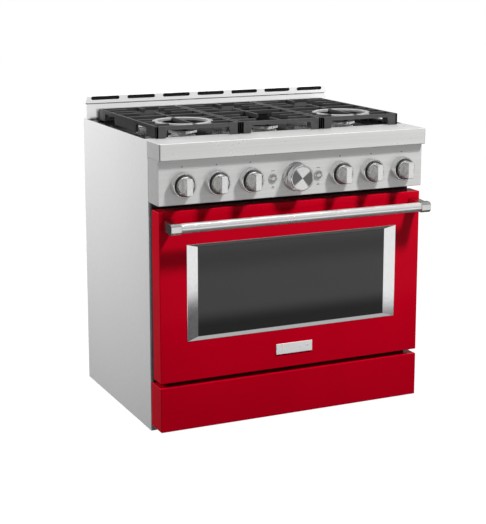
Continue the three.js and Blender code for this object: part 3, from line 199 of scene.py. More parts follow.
def finish(
    name, pattern, settings, shades, roughness, metallic=0.0, bump=0.0, depth=0.2, smear=6.0, **sockets
):
    """A material whose colour, roughness and surface follow one pattern group, with smears over it."""
    made = bpy.data.materials.new(name)
    made.use_nodes = True
    tree = made.node_tree
    shader = tree.nodes["Principled BSDF"]
    place = tree.nodes.new("ShaderNodeTexCoord")
    look = tree.nodes.new("ShaderNodeGroup")
    look.node_tree = pattern
    feed(tree, look, Vector=place.outputs["Object"], **settings)
    dust = tree.nodes.new("ShaderNodeGroup")
    dust.node_tree = smears
    feed(tree, dust, Vector=place.outputs["Object"], Size=smear)
    colour = tree.nodes.new("ShaderNodeMix")
    colour.data_type = "RGBA"
    colour.inputs[6].default_value = (*shades[0], 1.0)
    colour.inputs[7].default_value = (*shades[1], 1.0)
    tree.links.new(look.outputs["Tone"], colour.inputs[0])
    gloss = add_node(
        tree, "ShaderNodeMapRange", From_Min=0.1, From_Max=0.45, To_Min=roughness[0],
        To_Max=roughness[1], Value=dust.outputs["Value"]
    )
    if bump:
        relief = add_node(
            tree, "ShaderNodeBump", Strength=bump, Distance=depth * MM, Height=look.outputs["Height"]
        )
        feed(tree, shader, Normal=relief)
    feed(tree, shader, Base_Color=colour.outputs[2], Roughness=gloss, Metallic=metallic, **sockets)
    return made


black_plastic = finish(
    "black plastic", skin, {"Grain": 1400.0}, [(0.012, 0.012, 0.012), (0.02, 0.02, 0.021)], (0.38, 0.55),
    bump=0.25
)
FOOT_RADIUS = 19 * MM
FOOT_PAD = 9 * MM
FOOT_STEM = 5 * MM
FOOT_THREAD = 1.5 * MM
for end in ("front", "back"):
    for side in ("left", "right"):
        node = f"levelling_foot_{end}_{side}"
        low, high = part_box(node)
        rounded_pad = [
            (0, 0), (FOOT_RADIUS, 0), (FOOT_RADIUS, 0.5 * FOOT_PAD), (8 * MM, FOOT_PAD),
            (FOOT_STEM, FOOT_PAD),
        ]
        profile = eased(rounded_pad, 1.2 * MM)
        height = FOOT_PAD + FOOT_THREAD
        while height < high.z - FOOT_THREAD:
            profile.append(Vector((FOOT_STEM, height)))
            profile.append(Vector((FOOT_STEM - 0.7 * MM, height + 0.5 * FOOT_THREAD)))
            height += FOOT_THREAD
        profile.append(Vector((FOOT_STEM - 0.7 * MM, high.z)))
        profile.append(Vector((0, high.z)))
        middle = (0.5 * (low.x + high.x), 0.5 * (low.y + high.y), 0)
        foot = turned(profile, middle, 36)
        piece(f"foot_{end}_{side}", foot, black_plastic, f"{node}_screw", "black_plastic", node)

# ---- Chassis pan ----
# The folded galvanised tray that carries everything. The feet screw into it.
# Its zinc shows a soft spangle.
spangle, spangle_in, spangle_out = effect(
    "zinc spangle", [("Vector", "Vector", None), ("Size", "Float", 90.0)], ["Tone", "Height"]
)
spangle_cells = add_node(
    spangle, "ShaderNodeTexVoronoi", Vector=spangle_in.outputs["Vector"], Scale=spangle_in.outputs["Size"]
)
spangle_grey = add_node(spangle, "ShaderNodeRGBToBW", spangle_cells.outputs["Color"])
feed(spangle, spangle_out, Tone=spangle_grey, Height=spangle_cells.outputs["Distance"])
galvanised = finish(
    "galvanised steel", spangle, {"Size": 90.0}, [(0.36, 0.38, 0.39), (0.5, 0.52, 0.53)], (0.38, 0.55),
    metallic=0.9, bump=0.05
)


def keep(node, finish_name):
    """A node that stays as it is and takes a finish."""
    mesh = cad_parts[node].data
    mesh.materials.clear()
    mesh.materials.append(finish_name)


keep("chassis_pan", galvanised)

# ---- Side panels ----
# One folded sheet each, painted satin silver, with a flange along the front and back edges.
# The folds are rounded.
silver_paint = finish(
    "satin silver paint", skin, {"Grain": 1100.0}, [(0.6, 0.602, 0.605), (0.66, 0.662, 0.665)], (0.36, 0.46),
    metallic=0.25, bump=0.06, smear=3.0
)
FOLD = 1.4 * MM


def copy_of(node):
    """A merged copy of a node, with flat areas as single faces."""
    shape = bmesh.new()
    shape.from_mesh(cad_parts[node].data)
    bmesh.ops.remove_doubles(shape, verts=shape.verts, dist=0.01 * MM)
    bmesh.ops.dissolve_limit(shape, angle_limit=math.radians(1), verts=shape.verts, edges=shape.edges)
    return shape


def on_box(point, low, high):
    """The box faces that a point lies on."""
    near = 0.05 * MM
    found = set()
    for i, axis in enumerate("xyz"):
        if abs(point[i] - low[i]) < near:
            found.add("-" + axis)
        if abs(point[i] - high[i]) < near:
            found.add("+" + axis)
    return found


def round_edges(shape, edges, radius, steps=3, clamped=False):
    """Round the chosen edges of a shape."""
    bmesh.ops.bevel(
        shape, geom=edges, offset=radius, segments=steps, profile=0.5, affect="EDGES", clamp_overlap=clamped
    )
    return shape


def fold_edges(shape, radius, skip=(), steps=3):
    """Round the outer folds of a sheet box: the edges where two of its box faces meet."""
    points = [v.co for v in shape.verts]
    low = Vector([min(p[i] for p in points) for i in range(3)])
    high = Vector([max(p[i] for p in points) for i in range(3)])
    chosen = []
    for edge in shape.edges:
        shared = on_box(edge.verts[0].co, low, high) & on_box(edge.verts[1].co, low, high)
        if len(shared - set(skip)) > 1 and edge.calc_face_angle(0) > math.radians(60):
            chosen.append(edge)
    return round_edges(shape, chosen, radius, steps)


for side in ("left", "right"):
    node = f"side_panel_{side}"
    panel = fold_edges(copy_of(node), FOLD, skip=("+z", "-z"))
    piece(f"side_{side}", panel, silver_paint, "range_body", "side_steel", node)

# ---- Back panel ----
# A flat galvanised sheet with two rows of air slots, the gas inlet hole and a cord hole.
# Hex-head screws hold it all round.
keep("back_panel", galvanised)


def scatter_tree(name, inputs):
    """A geometry node tree with named inputs, one geometry output, and its last two nodes in place."""
    tree = bpy.data.node_groups.new(name, "GeometryNodeTree")
    for label, kind in inputs:
        tree.interface.new_socket(label, in_out="INPUT", socket_type="NodeSocket" + kind)
    tree.interface.new_socket("Geometry", in_out="OUTPUT", socket_type="NodeSocketGeometry")
    start = tree.nodes.new("NodeGroupInput")
    end = tree.nodes.new("NodeGroupOutput")
    real = add_node(tree, "GeometryNodeRealizeInstances")
    paint = add_node(tree, "GeometryNodeSetMaterial", Material=start.outputs["Material"], Geometry=real)
    feed(tree, end, Geometry=paint)
    return tree, start, real


def grown(name, tree, values, body, slot, move=None, nodes=()):
    """A plain mesh piece made by a geometry node tree from its named values."""
    holder = placed(name, bpy.data.meshes.new(name))
    modifier = holder.modifiers.new("make", "NODES")
    modifier.node_group = tree
    for item in tree.interface.items_tree:
        if item.in_out == "INPUT" and item.name in values:
            modifier[item.identifier] = values[item.name]
    mesh = settled(holder)
    bpy.data.objects.remove(holder)
    shape = bmesh.new()
    shape.from_mesh(mesh)
    if move is not None:
        shape.transform(move)
    bmesh.ops.remove_doubles(shape, verts=shape.verts, dist=0.001 * MM)
    bmesh.ops.recalc_face_normals(shape, faces=shape.faces)
    return piece(name, shape, values["Material"], body, slot, *nodes)


zinc = finish(
    "zinc plate", skin, {"Grain": 2000.0}, [(0.5, 0.5, 0.48), (0.6, 0.6, 0.58)], (0.3, 0.42), metallic=1.0,
    bump=0.08
)
SCREW_INPUTS = [("Across", "Float"), ("Up", "Float"), ("Columns", "Int"), ("Rows", "Int")]
SCREW_INPUTS += [("Head", "Float"), ("Rise", "Float"), ("Material", "Material")]
screws, screws_in, screws_real = scatter_tree("screw rows", SCREW_INPUTS)
screw_grid = add_node(
    screws, "GeometryNodeMeshGrid", Size_X=screws_in.outputs["Across"], Size_Y=screws_in.outputs["Up"],
    Vertices_X=screws_in.outputs["Columns"], Vertices_Y=screws_in.outputs["Rows"]
)
screw_narrow = add_node(screws, "ShaderNodeMath", screws_in.outputs["Head"], 0.86, operation="MULTIPLY")
screw_head = add_node(
    screws, "GeometryNodeMeshCone", Vertices=6, Radius_Bottom=screws_in.outputs["Head"],
    Radius_Top=screw_narrow, Depth=screws_in.outputs["Rise"]
)
screw_each = add_node(
    screws, "GeometryNodeInstanceOnPoints", Points=screw_grid.outputs["Mesh"],
    Instance=screw_head.outputs["Mesh"]
)
feed(screws, screws_real, Geometry=screw_each)
back_low, back_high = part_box("back_panel")
SCREW_INSET = 14 * MM
SCREW_RISE = 1.3 * MM
to_back = Matrix.Rotation(-math.pi / 2, 4, "X")
values = {
    "Across": back_high.x - back_low.x - 2 * SCREW_INSET,
    "Up": back_high.z - back_low.z - 2 * SCREW_INSET,
    "Columns": 5,
    "Rows": 2,
    "Head": 4.2 * MM,
    "Rise": SCREW_RISE,
    "Material": zinc,
}
spot = Vector((0, back_high.y, 0.5 * (back_low.z + back_high.z)))
grown("back_screws", screws, values, "range_body", "galvanised", Matrix.Translation(spot) @ to_back)

# ---- Kick panel ----
# The enamelled sheet below the door, folded back at its top, bottom and ends.
# Deep red porcelain enamel, with the faint ripple that fired enamel has.
ripple, ripple_in, ripple_out = effect(
    "enamel ripple", [("Vector", "Vector", None), ("Wave", "Float", 60.0)], ["Tone", "Height"]
)
ripple_place = scaled(ripple, ripple_in, "Wave")
ripple_wave = noise(ripple, ripple_place, 1.0, 1.0)
ripple_cloud = noise(ripple, ripple_place, 0.08, 2.0)
feed(ripple, ripple_out, Tone=ripple_cloud, Height=ripple_wave)
red_enamel = finish(
    "red enamel", ripple, {"Wave": 60.0}, [(0.34, 0.0, 0.008), (0.42, 0.0, 0.01)], (0.06, 0.12),
    bump=0.02, depth=0.3, Specular_IOR_Level=0.25, Specular_Tint=(1.0, 0.05, 0.08, 1.0)
)
EDGE = 2.4 * MM
kick = fold_edges(copy_of("kick_panel"), EDGE, skip=("+y",), steps=4)
piece("kick_panel_enamelled", kick, red_enamel, "range_body", "red_enamel", "kick_panel")

# ---- Front rim ----
# The brushed stainless landing ledge, one sheet wrapped over the front of the cooktop.
# Its long front folds are rolled to a radius, and the grain runs from side to side.
brushing, brushing_in, brushing_out = effect(
    "brushed lines", [("Vector", "Vector", None), ("Stretch", "Vector", (5.0, 900.0, 900.0))],
    ["Tone", "Height"]
)
brushing_place = add_node(
    brushing, "ShaderNodeMapping", Vector=brushing_in.outputs["Vector"],
    Scale=brushing_in.outputs["Stretch"]
)
brushing_fine = noise(brushing, brushing_place.outputs[0], 1.0, 2.0)
brushing_broad = noise(brushing, brushing_place.outputs[0], 0.22, 3.0)
feed(brushing, brushing_out, Tone=brushing_broad, Height=brushing_fine)
stainless = finish(
    "brushed stainless", brushing, {"Stretch": (4.0, 500.0, 500.0)}, [(0.48, 0.48, 0.475), (0.6, 0.6, 0.595)],
    (0.3, 0.4), metallic=0.45, bump=0.03, depth=0.03, smear=4.0
)
ledge_stainless = finish(
    "brushed stainless ledge", brushing, {"Stretch": (4.0, 500.0, 500.0)},
    [(0.47, 0.47, 0.465), (0.6, 0.6, 0.595)], (0.26, 0.36), metallic=0.42, bump=0.03, depth=0.03, smear=4.0
)
RIM_ROUND = 2.6 * MM
rim_low, rim_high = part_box("front_rim")
sides_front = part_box("side_panel_left")[0].y
rim = copy_of("front_rim")
rim_edges = []
for edge in rim.edges:
    a, b = (v.co for v in edge.verts)
    level = abs(a.z - b.z) < 0.05 * MM
    outer = min(a.z, rim_high.z) > rim_high.z - 0.05 * MM or max(a.z, b.z) < rim_low.z + 0.05 * MM
    side = min(abs(a.x), abs(b.x)) > rim_high.x - 0.05 * MM and max(a.y, b.y) < sides_front
    front = max(a.y, b.y) < rim_low.y + 6.1 * MM
    if level and outer and (side or front) and edge.calc_face_angle(0) > math.radians(60):
        rim_edges.append(edge)
round_edges(rim, rim_edges, RIM_ROUND, 4)
piece("front_rim_folded", rim, ledge_stainless, "range_body", "stainless", "front_rim")

# ---- Backguard ----
# A low stainless upstand at the back, with a hollow upper box whose slots let the oven breathe out.
# The box stands forward of the lower panel. Painted shade: the panel's colour darkens to near black below the
# grate tops, standing in for the grates' shadow and the black pan it mirrors. Its ends beside the grates stay
# light.
guard = fold_edges(copy_of("backguard"), 1.6 * MM, skip=("-z",))
guard_stainless = finish(
    "brushed stainless upstand with painted foot shade", brushing, {"Stretch": (4.0, 500.0, 500.0)},
    [(0.72, 0.72, 0.715), (0.84, 0.84, 0.835)], (0.42, 0.52), metallic=0.3, bump=0.03, depth=0.03, smear=4.0
)
# Painted shade: the upstand's base colour is mixed towards black below the grate tops, except at its ends.
upstand = guard_stainless.node_tree
upstand_place = upstand.nodes.new("ShaderNodeTexCoord")
upstand_split = add_node(upstand, "ShaderNodeSeparateXYZ", upstand_place.outputs["Object"])
grate_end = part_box("grate_right")[1]
painted_foot_shade = add_node(
    upstand, "ShaderNodeMapRange", From_Min=grate_end.z - 16 * MM, From_Max=grate_end.z + 2 * MM, To_Min=0.12,
    To_Max=1.0, Value=upstand_split.outputs["Z"]
)
painted_foot_shade.interpolation_type = "SMOOTHSTEP"
off_centre = add_node(upstand, "ShaderNodeMath", upstand_split.outputs["X"], operation="ABSOLUTE")
end_clear = add_node(
    upstand, "ShaderNodeMapRange", From_Min=grate_end.x - 8 * MM, From_Max=grate_end.x + 2 * MM,
    Value=off_centre
)
upstand_painted_shade = add_node(upstand, "ShaderNodeMath", painted_foot_shade, end_clear, operation="MAXIMUM")
upstand_base = upstand.nodes["Principled BSDF"].inputs["Base Color"]
upstand_shade_mix = upstand.nodes.new("ShaderNodeMix")
upstand_shade_mix.data_type = "RGBA"
upstand_shade_mix.inputs[6].default_value = (0.0, 0.0, 0.0, 1.0)
upstand.links.new(upstand_painted_shade.outputs[0], upstand_shade_mix.inputs[0])
upstand.links.new(upstand_base.links[0].from_socket, upstand_shade_mix.inputs[7])
upstand.links.new(upstand_shade_mix.outputs[2], upstand_base)
piece("backguard_folded", guard, guard_stainless, "range_body", "stainless", "backguard")
black_liner = finish(
    "black flue liner", skin, {"Grain": 800.0}, [(0.004, 0.004, 0.004), (0.008, 0.008, 0.008)], (0.6, 0.8),
    bump=0.2
)


def rounded_block(low, high, radius, steps=2):
    """A block with all its edges rounded."""
    shape = bmesh.new()
    bmesh.ops.create_cube(shape, size=1.0)
    size = Vector(high) - Vector(low)
    middle = (Vector(high) + Vector(low)) / 2
    shape.transform(Matrix.Translation(middle) @ Matrix.Diagonal((*size, 1)))
    return round_edges(shape, shape.edges[:], radius, steps)


guard_low, guard_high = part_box("backguard")
baffle_half = Vector((0.5 * (guard_high.x - guard_low.x) - 4 * MM, 1.5 * MM, 9 * MM))
baffle_spot = Vector((0, guard_low.y + 5.2 * MM, guard_high.z - 12.5 * MM))
baffle = rounded_block(baffle_spot - baffle_half, baffle_spot + baffle_half, 0.5 * MM)
piece("flue_baffle", baffle, black_liner, "range_body", "black_enamel")

# ---- Cooktop pan ----
# The pressed black enamel tray that catches spills, with a hole for each burner.
# It drops in behind the ledge and runs back under the backguard.
black_enamel = finish(
    "black enamel", ripple, {"Wave": 70.0}, [(0.004, 0.004, 0.005), (0.009, 0.009, 0.01)], (0.08, 0.18),
    bump=0.05, depth=0.3, Specular_IOR_Level=0.12
)
PAN_ROUND = 0.5 * MM
pan = copy_of("cooktop_pan")
pan_edges = [e for e in pan.edges if abs(e.calc_face_angle_signed(0)) > math.radians(60)]
round_edges(pan, pan_edges, PAN_ROUND, 2, clamped=True)
piece("cooktop_pan_enamelled", pan, black_enamel, "range_body", "black_enamel", "cooktop_pan")

# ---- Burners ----
# Each is a cast aluminium body with a ring of port teeth, and a black enamelled iron cap on top.
# A ceramic spark electrode stands beside it.
aluminium = finish(
    "cast aluminium", skin, {"Grain": 1500.0}, [(0.74, 0.74, 0.73), (0.86, 0.86, 0.85)], (0.3, 0.44),
    metallic=0.4, bump=0.1, depth=0.08
)
cap_enamel = finish(
    "cap enamel", skin, {"Grain": 900.0}, [(0.02, 0.02, 0.021), (0.04, 0.04, 0.041)], (0.6, 0.75), bump=0.15,
    Specular_IOR_Level=0.02
)
ceramic = finish(
    "white ceramic", skin, {"Grain": 1200.0}, [(0.7, 0.69, 0.66), (0.78, 0.77, 0.74)], (0.25, 0.35), bump=0.05
)
TOOTH_INPUTS = [("Count", "Int"), ("Radius", "Float"), ("Tooth", "Vector"), ("Material", "Material")]
teeth, teeth_in, teeth_real = scatter_tree("port teeth", TOOTH_INPUTS)
tooth_ring = add_node(
    teeth, "GeometryNodeMeshCircle", Vertices=teeth_in.outputs["Count"], Radius=teeth_in.outputs["Radius"]
)
tooth_shape = add_node(teeth, "GeometryNodeMeshCube", Size=teeth_in.outputs["Tooth"])
tooth_index = teeth.nodes.new("GeometryNodeInputIndex")
tooth_step = add_node(teeth, "ShaderNodeMath", 2 * math.pi, teeth_in.outputs["Count"], operation="DIVIDE")
tooth_angle = add_node(teeth, "ShaderNodeMath", tooth_index, tooth_step, operation="MULTIPLY")
tooth_turn = add_node(teeth, "ShaderNodeCombineXYZ", Z=tooth_angle)
tooth_each = add_node(
    teeth, "GeometryNodeInstanceOnPoints", Points=tooth_ring, Instance=tooth_shape.outputs["Mesh"],
    Rotation=tooth_turn
)
feed(teeth, teeth_real, Geometry=tooth_each)
COLUMNS = ("left", "middle", "right")
ROWS = ("front", "rear")
PORTS = 40
for column in COLUMNS:
    for row in ROWS:
        body_node = f"burner_body_{column}_{row}"
        cap_node = f"burner_cap_{column}_{row}"
        low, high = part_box(body_node)
        cap_low, cap_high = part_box(cap_node)
        x = 0.5 * (low.x + high.x)
        y = 0.5 * (low.y + high.y)
        seat = high.z - 23 * MM
        radius = 0.5 * (high.x - low.x)
        outline = [
            (0, low.z), (24 * MM, low.z), (24 * MM, seat), (radius, seat), (radius, seat + 2 * MM),
            (radius - 10 * MM, seat + 6 * MM), (radius - 13 * MM, seat + 10 * MM),
            (radius - 3.5 * MM, seat + 14 * MM), (radius - 3.5 * MM, high.z), (0, high.z),
        ]
        head = turned(eased(outline, 1.2 * MM), (x, y, 0), 64)
        piece(f"burner_{column}_{row}", head, aluminium, "range_body", "burner_aluminium", body_node)
        cap_radius = 0.5 * (cap_high.x - cap_low.x)
        thick = cap_high.z - cap_low.z
        cap_outline = [
            (0, 0), (cap_radius - 1 * MM, 0), (cap_radius, 1.2 * MM), (cap_radius, thick - 4 * MM),
            (cap_radius - 5 * MM, thick - 1 * MM), (0.45 * cap_radius, thick - 0.2 * MM), (0, thick),
        ]
        cap = turned(eased(cap_outline, 1.5 * MM, 4), (x, y, cap_low.z), 72)
        piece(f"cap_{column}_{row}", cap, cap_enamel, "range_body", "cast_iron", cap_node)
        values = {
            "Count": PORTS,
            "Radius": radius - 2.6 * MM,
            "Tooth": (4.4 * MM, 4.2 * MM, 8 * MM),
            "Material": aluminium,
        }
        spot = Matrix.Translation((x, y, high.z - 4.4 * MM))
        grown(f"ports_{column}_{row}", teeth, values, "range_body", "burner_aluminium", spot)
        tip = [
            (0, 0), (3 * MM, 0), (3 * MM, 11 * MM), (2 * MM, 13 * MM), (0.7 * MM, 14 * MM),
            (0.7 * MM, 17 * MM), (0, 17 * MM),
        ]
        beside = radius + 5 * MM
        spark = turned(eased(tip, 0.4 * MM, 2), (x + 0.8 * beside, y + 0.6 * beside, seat), 20)
        piece(f"igniter_{column}_{row}", spark, ceramic, "range_body", "burner_aluminium")

# ---- Grates ----
# Three lift-off castings in matte black enamelled iron: a deep rim on four legs with arches cut in it,
# a crossbar, and fingers over each burner. The outer two carry a ring over the front burner.
cast_iron = finish(
    "matte cast iron", skin, {"Grain": 700.0}, [(0.09, 0.0905, 0.091), (0.14, 0.141, 0.142)], (0.36, 0.5),
    metallic=0.85, bump=0.3, depth=0.12, smear=20.0
)
# The rings are the same iron, smoother and lighter: the lighter colour is a painted highlight for the light
# their round tops catch.
ring_iron_painted_light = finish(
    "smoother ring iron, painted lighter", skin, {"Grain": 900.0}, [(0.34, 0.34, 0.34), (0.46, 0.46, 0.46)], (0.3, 0.42),
    metallic=0.5, bump=0.06, depth=0.06
)
WALL = 9 * MM
FINGER = 8 * MM
FINGER_DEEP = 14 * MM
LEG = 32 * MM
TOP_BAR = 12 * MM
CAST_ROUND = 1.6 * MM
ARCH_HALF = 49 * MM
ARCH_SLOPE = 5 * MM
FINGER_PITCH = 60 * MM
CLEAR_ACROSS = 56 * MM
CLEAR_ALONG = 48 * MM
RING_LAP = 4 * MM
RING_DEEP = 9 * MM
RING_SUNK = 1.5 * MM


def rounded_prism(outline, axis, start, end, radius, steps=2):
    """An outline pushed along x or y, with all its edges rounded."""
    shape = bmesh.new()
    ring = []
    for u, v in outline:
        ring.append(shape.verts.new((start, u, v) if axis == "x" else (u, start, v)))
    face = shape.faces.new(ring)
    pushed = bmesh.ops.extrude_face_region(shape, geom=[face])
    moved = [g for g in pushed["geom"] if isinstance(g, bmesh.types.BMVert)]
    step = end - start
    bmesh.ops.translate(shape, verts=moved, vec=(step, 0, 0) if axis == "x" else (0, step, 0))
    bmesh.ops.recalc_face_normals(shape, faces=shape.faces)
    edges = [e for e in shape.edges if e.calc_face_angle(0) > math.radians(25)]
    return round_edges(shape, edges, radius, steps)


def joined(parts):
    """Several shapes as one."""
    whole = bmesh.new()
    for part in parts:
        mesh = bpy.data.meshes.new("part")
        part.to_mesh(mesh)
        part.free()
        whole.from_mesh(mesh)
        bpy.data.meshes.remove(mesh)
    return whole


def arched_wall(start, end, foot, top, arches):
    """The outline of a rim wall, with trapezoid arches cut up into it."""
    outline = [(start, top), (start, foot)]
    for low_u, high_u in arches:
        outline += [(low_u, foot), (low_u + ARCH_SLOPE, top - TOP_BAR)]
        outline += [(high_u - ARCH_SLOPE, top - TOP_BAR), (high_u, foot)]
    return outline + [(end, foot), (end, top)]


burner_ys = {row: 0.5 * sum(v.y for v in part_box(f"burner_body_left_{row}")) for row in ROWS}
middle_y = 0.5 * (burner_ys["front"] + burner_ys["rear"])
RING_IN = 79 * MM
RING_OUT = 95 * MM
for column in COLUMNS:
    node = f"grate_{column}"
    low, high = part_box(node)
    x = 0.5 * (low.x + high.x)
    top = high.z
    under = top - FINGER_DEEP
    parts = []
    front_arch = [(low.x + LEG, high.x - LEG)]
    for y in (low.y, high.y - WALL):
        outline = arched_wall(low.x, high.x, low.z, top, front_arch)
        parts.append(rounded_prism(outline, "y", y, y + WALL, CAST_ROUND))
    side_arches = [(burner_ys[row] - ARCH_HALF, burner_ys[row] + ARCH_HALF) for row in ROWS]
    for side_x in (low.x, high.x - WALL):
        outline = arched_wall(low.y, high.y, low.z, top, side_arches)
        parts.append(rounded_prism(outline, "x", side_x, side_x + WALL, CAST_ROUND))
    half = 0.5 * FINGER
    inner_x = (low.x + 0.4 * WALL, high.x - 0.4 * WALL)
    bar_from = (inner_x[0], middle_y - half, under)
    parts.append(rounded_block(bar_from, (inner_x[1], middle_y + half, top), CAST_ROUND))
    for row in ROWS:
        y = burner_ys[row]
        ringed = column != "middle" and row == "front"
        near = low.y + 0.4 * WALL if row == "front" else middle_y
        far = middle_y if row == "front" else high.y - 0.4 * WALL
        if ringed:
            parts.append(rounded_block((x - half, near, under), (x + half, far, top), CAST_ROUND))
            ring_top = top - RING_SUNK
            ring_foot = ring_top - RING_DEEP
            ring = [(RING_IN, ring_foot), (RING_OUT, ring_foot), (RING_OUT, ring_top), (RING_IN, ring_top)]
            hoop = turned(eased(ring, 1.8 * MM, 3, closed=True), (x, y, 0), 96, closed=True)
            piece(f"grate_ring_{column}", hoop, ring_iron_painted_light, f"{node}_casting", "cast_iron")
        else:
            for start, end in ((near, y - CLEAR_ALONG), (y + CLEAR_ALONG, far)):
                parts.append(rounded_block((x - half, start, under), (x + half, end, top), CAST_ROUND))
        for step in (-1, 0, 1):
            off = step * FINGER_PITCH
            at = y + off
            reach = CLEAR_ACROSS
            if ringed:
                reach = math.sqrt(RING_OUT**2 - off**2) - RING_LAP
            for start, end in ((inner_x[0], x - reach), (x + reach, inner_x[1])):
                parts.append(rounded_block((start, at - half, under), (end, at + half, top), CAST_ROUND))
    piece(f"{node}_cast", joined(parts), cast_iron, f"{node}_casting", "cast_iron", node)

# ---- Gas train and valve stems ----
# Brass pipe, valves and stems behind the panel. They show only through gaps.
# The pipe brings gas to one valve behind each knob.
brass = finish(
    "valve brass", skin, {"Grain": 1300.0}, [(0.42, 0.27, 0.08), (0.55, 0.37, 0.13)], (0.3, 0.45),
    metallic=1.0, bump=0.1
)
keep("gas_manifold", brass)
KNOB_ORDER = ("left_front", "left_rear", "middle_rear", "middle_front", "right_rear", "right_front")
for served in KNOB_ORDER:
    keep(f"valve_stem_{served}", brass)

# ---- Control panel ----
# A folded brushed stainless box, with a chrome bezel pressed in round each knob,
# a stepped ring behind the oven knob and a small bezel round each push button.
panel_low, panel_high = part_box("control_panel")
chrome = finish(
    "polished chrome", skin, {"Grain": 1800.0}, [(0.72, 0.72, 0.72), (0.82, 0.82, 0.82)], (0.06, 0.14),
    metallic=1.0, bump=0.02
)
SHEET = 1.2 * MM
BEZEL_DEEP = 23 * MM
BEZEL_OUT = 37.4 * MM
BEZEL_IN = 32.4 * MM
panel_face = panel_low.y + BEZEL_DEEP


def folded_tray(low, high, sheet, radius):
    """A sheet box open at its back, with its outer folds rounded."""
    shape = bmesh.new()
    corners = {}
    for skin_name, inset in (("outer", 0), ("inner", sheet)):
        for i in range(8):
            sign = (i & 1, i >> 1 & 1, i >> 2 & 1)
            x = high.x - inset if sign[0] else low.x + inset
            y = high.y if sign[1] else low.y + inset
            z = high.z - inset if sign[2] else low.z + inset
            corners[skin_name, i] = shape.verts.new((x, y, z))
    walls = [(0, 1, 5, 4), (0, 2, 3, 1), (4, 5, 7, 6), (0, 4, 6, 2), (1, 3, 7, 5)]
    for wall in walls:
        shape.faces.new([corners["outer", i] for i in wall])
        shape.faces.new([corners["inner", i] for i in reversed(wall)])
    for a, b in ((2, 3), (3, 7), (7, 6), (6, 2)):
        shape.faces.new([corners["outer", a], corners["outer", b], corners["inner", b], corners["inner", a]])
    bmesh.ops.recalc_face_normals(shape, faces=shape.faces)
    return fold_edges(shape, radius, skip=("+y",), steps=4)


tray_low = Vector((panel_low.x, panel_face, panel_low.z))
SEAM = 1.6 * MM
tray_high = Vector((panel_high.x, panel_high.y - SEAM, panel_high.z))
tray = folded_tray(tray_low, tray_high, SHEET, 1.8 * MM)
piece("control_panel_face", tray, stainless, "range_body", "stainless", "control_panel")
# Painted shade: a black strip fills the seam at each end of the panel, standing in for the shadow in that
# gap.
for side, sign in (("left", -1), ("right", 1)):
    edge = sorted((sign * panel_high.x, sign * (panel_high.x - 4 * MM)))
    seam_shade_low = (edge[0], tray_high.y, panel_low.z)
    seam_shade_high = (edge[1], panel_high.y, panel_high.z)
    strip = rounded_block(seam_shade_low, seam_shade_high, 0.3 * MM)
    piece(f"seam_shade_strip_{side}", strip, black_plastic, "range_body", "black_plastic")
knob_z = 0.5 * sum(v.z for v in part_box("oven_knob"))
knob_xs = {served: 0.5 * sum(v.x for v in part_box(f"burner_knob_{served}")) for served in KNOB_ORDER}
bezel_outline = [
    (BEZEL_IN, 0), (BEZEL_OUT + 1.2 * MM, 0), (BEZEL_OUT, 2 * MM), (BEZEL_OUT, BEZEL_DEEP - 1.5 * MM),
    (BEZEL_OUT - 1.8 * MM, BEZEL_DEEP), (BEZEL_IN + 1.2 * MM, BEZEL_DEEP),
    (BEZEL_IN, BEZEL_DEEP - 2.5 * MM),
]
for served, x in knob_xs.items():
    outline = eased(bezel_outline, 1 * MM, 3, closed=True)
    bezel = turned(outline, (x, panel_face, knob_z), 72, True, closed=True)
    piece(f"bezel_{served}", bezel, chrome, "range_body", "polished")
ring_outline = [
    (0, 0), (45 * MM, 0), (45 * MM, 4 * MM), (43 * MM, 6 * MM), (43 * MM, 12 * MM), (41 * MM, 16 * MM),
    (0, 16 * MM),
]
oven_ring = turned(eased(ring_outline, 1 * MM), (0, panel_face, knob_z), 96, True)
piece("oven_knob_ring", oven_ring, chrome, "range_body", "polished")
button_xs = {name: 0.5 * sum(v.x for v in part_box(name)) for name in ("light_button", "fan_button")}
button_ring_outline = [
    (10.3 * MM, 0), (13.8 * MM, 0), (13.4 * MM, 4 * MM), (12.4 * MM, 5 * MM), (10.9 * MM, 5 * MM),
    (10.3 * MM, 4 * MM),
]
for name, x in button_xs.items():
    outline = eased(button_ring_outline, 0.6 * MM, 2, closed=True)
    ring = turned(outline, (x, panel_face, knob_z), 48, True, closed=True)
    piece(f"{name}_bezel", ring, chrome, "range_body", "polished")
printed = finish(
    "printed grey", skin, {"Grain": 1500.0}, [(0.05, 0.05, 0.05), (0.09, 0.09, 0.09)], (0.5, 0.6), bump=0.05
)
marks = []
MARK_PROUD = 0.15 * MM
for x in knob_xs.values():
    dot = [(0, -0.2 * MM), (2.2 * MM, -0.2 * MM), (2.2 * MM, MARK_PROUD), (0, MARK_PROUD)]
    marks.append(turned(dot, (x, panel_face, knob_z + 53.5 * MM), 20, True))
for x in button_xs.values():
    for drop, wide in ((22 * MM, 6 * MM), (-27 * MM, 3 * MM), (-31 * MM, 5 * MM)):
        centre = Vector((x, panel_face, knob_z + drop))
        reach = Vector((wide, MARK_PROUD, 0.9 * MM))
        marks.append(rounded_block(centre - reach, centre + reach, 0.05 * MM, 1))
piece("panel_marks", joined(marks), printed, "range_body", "black_plastic")

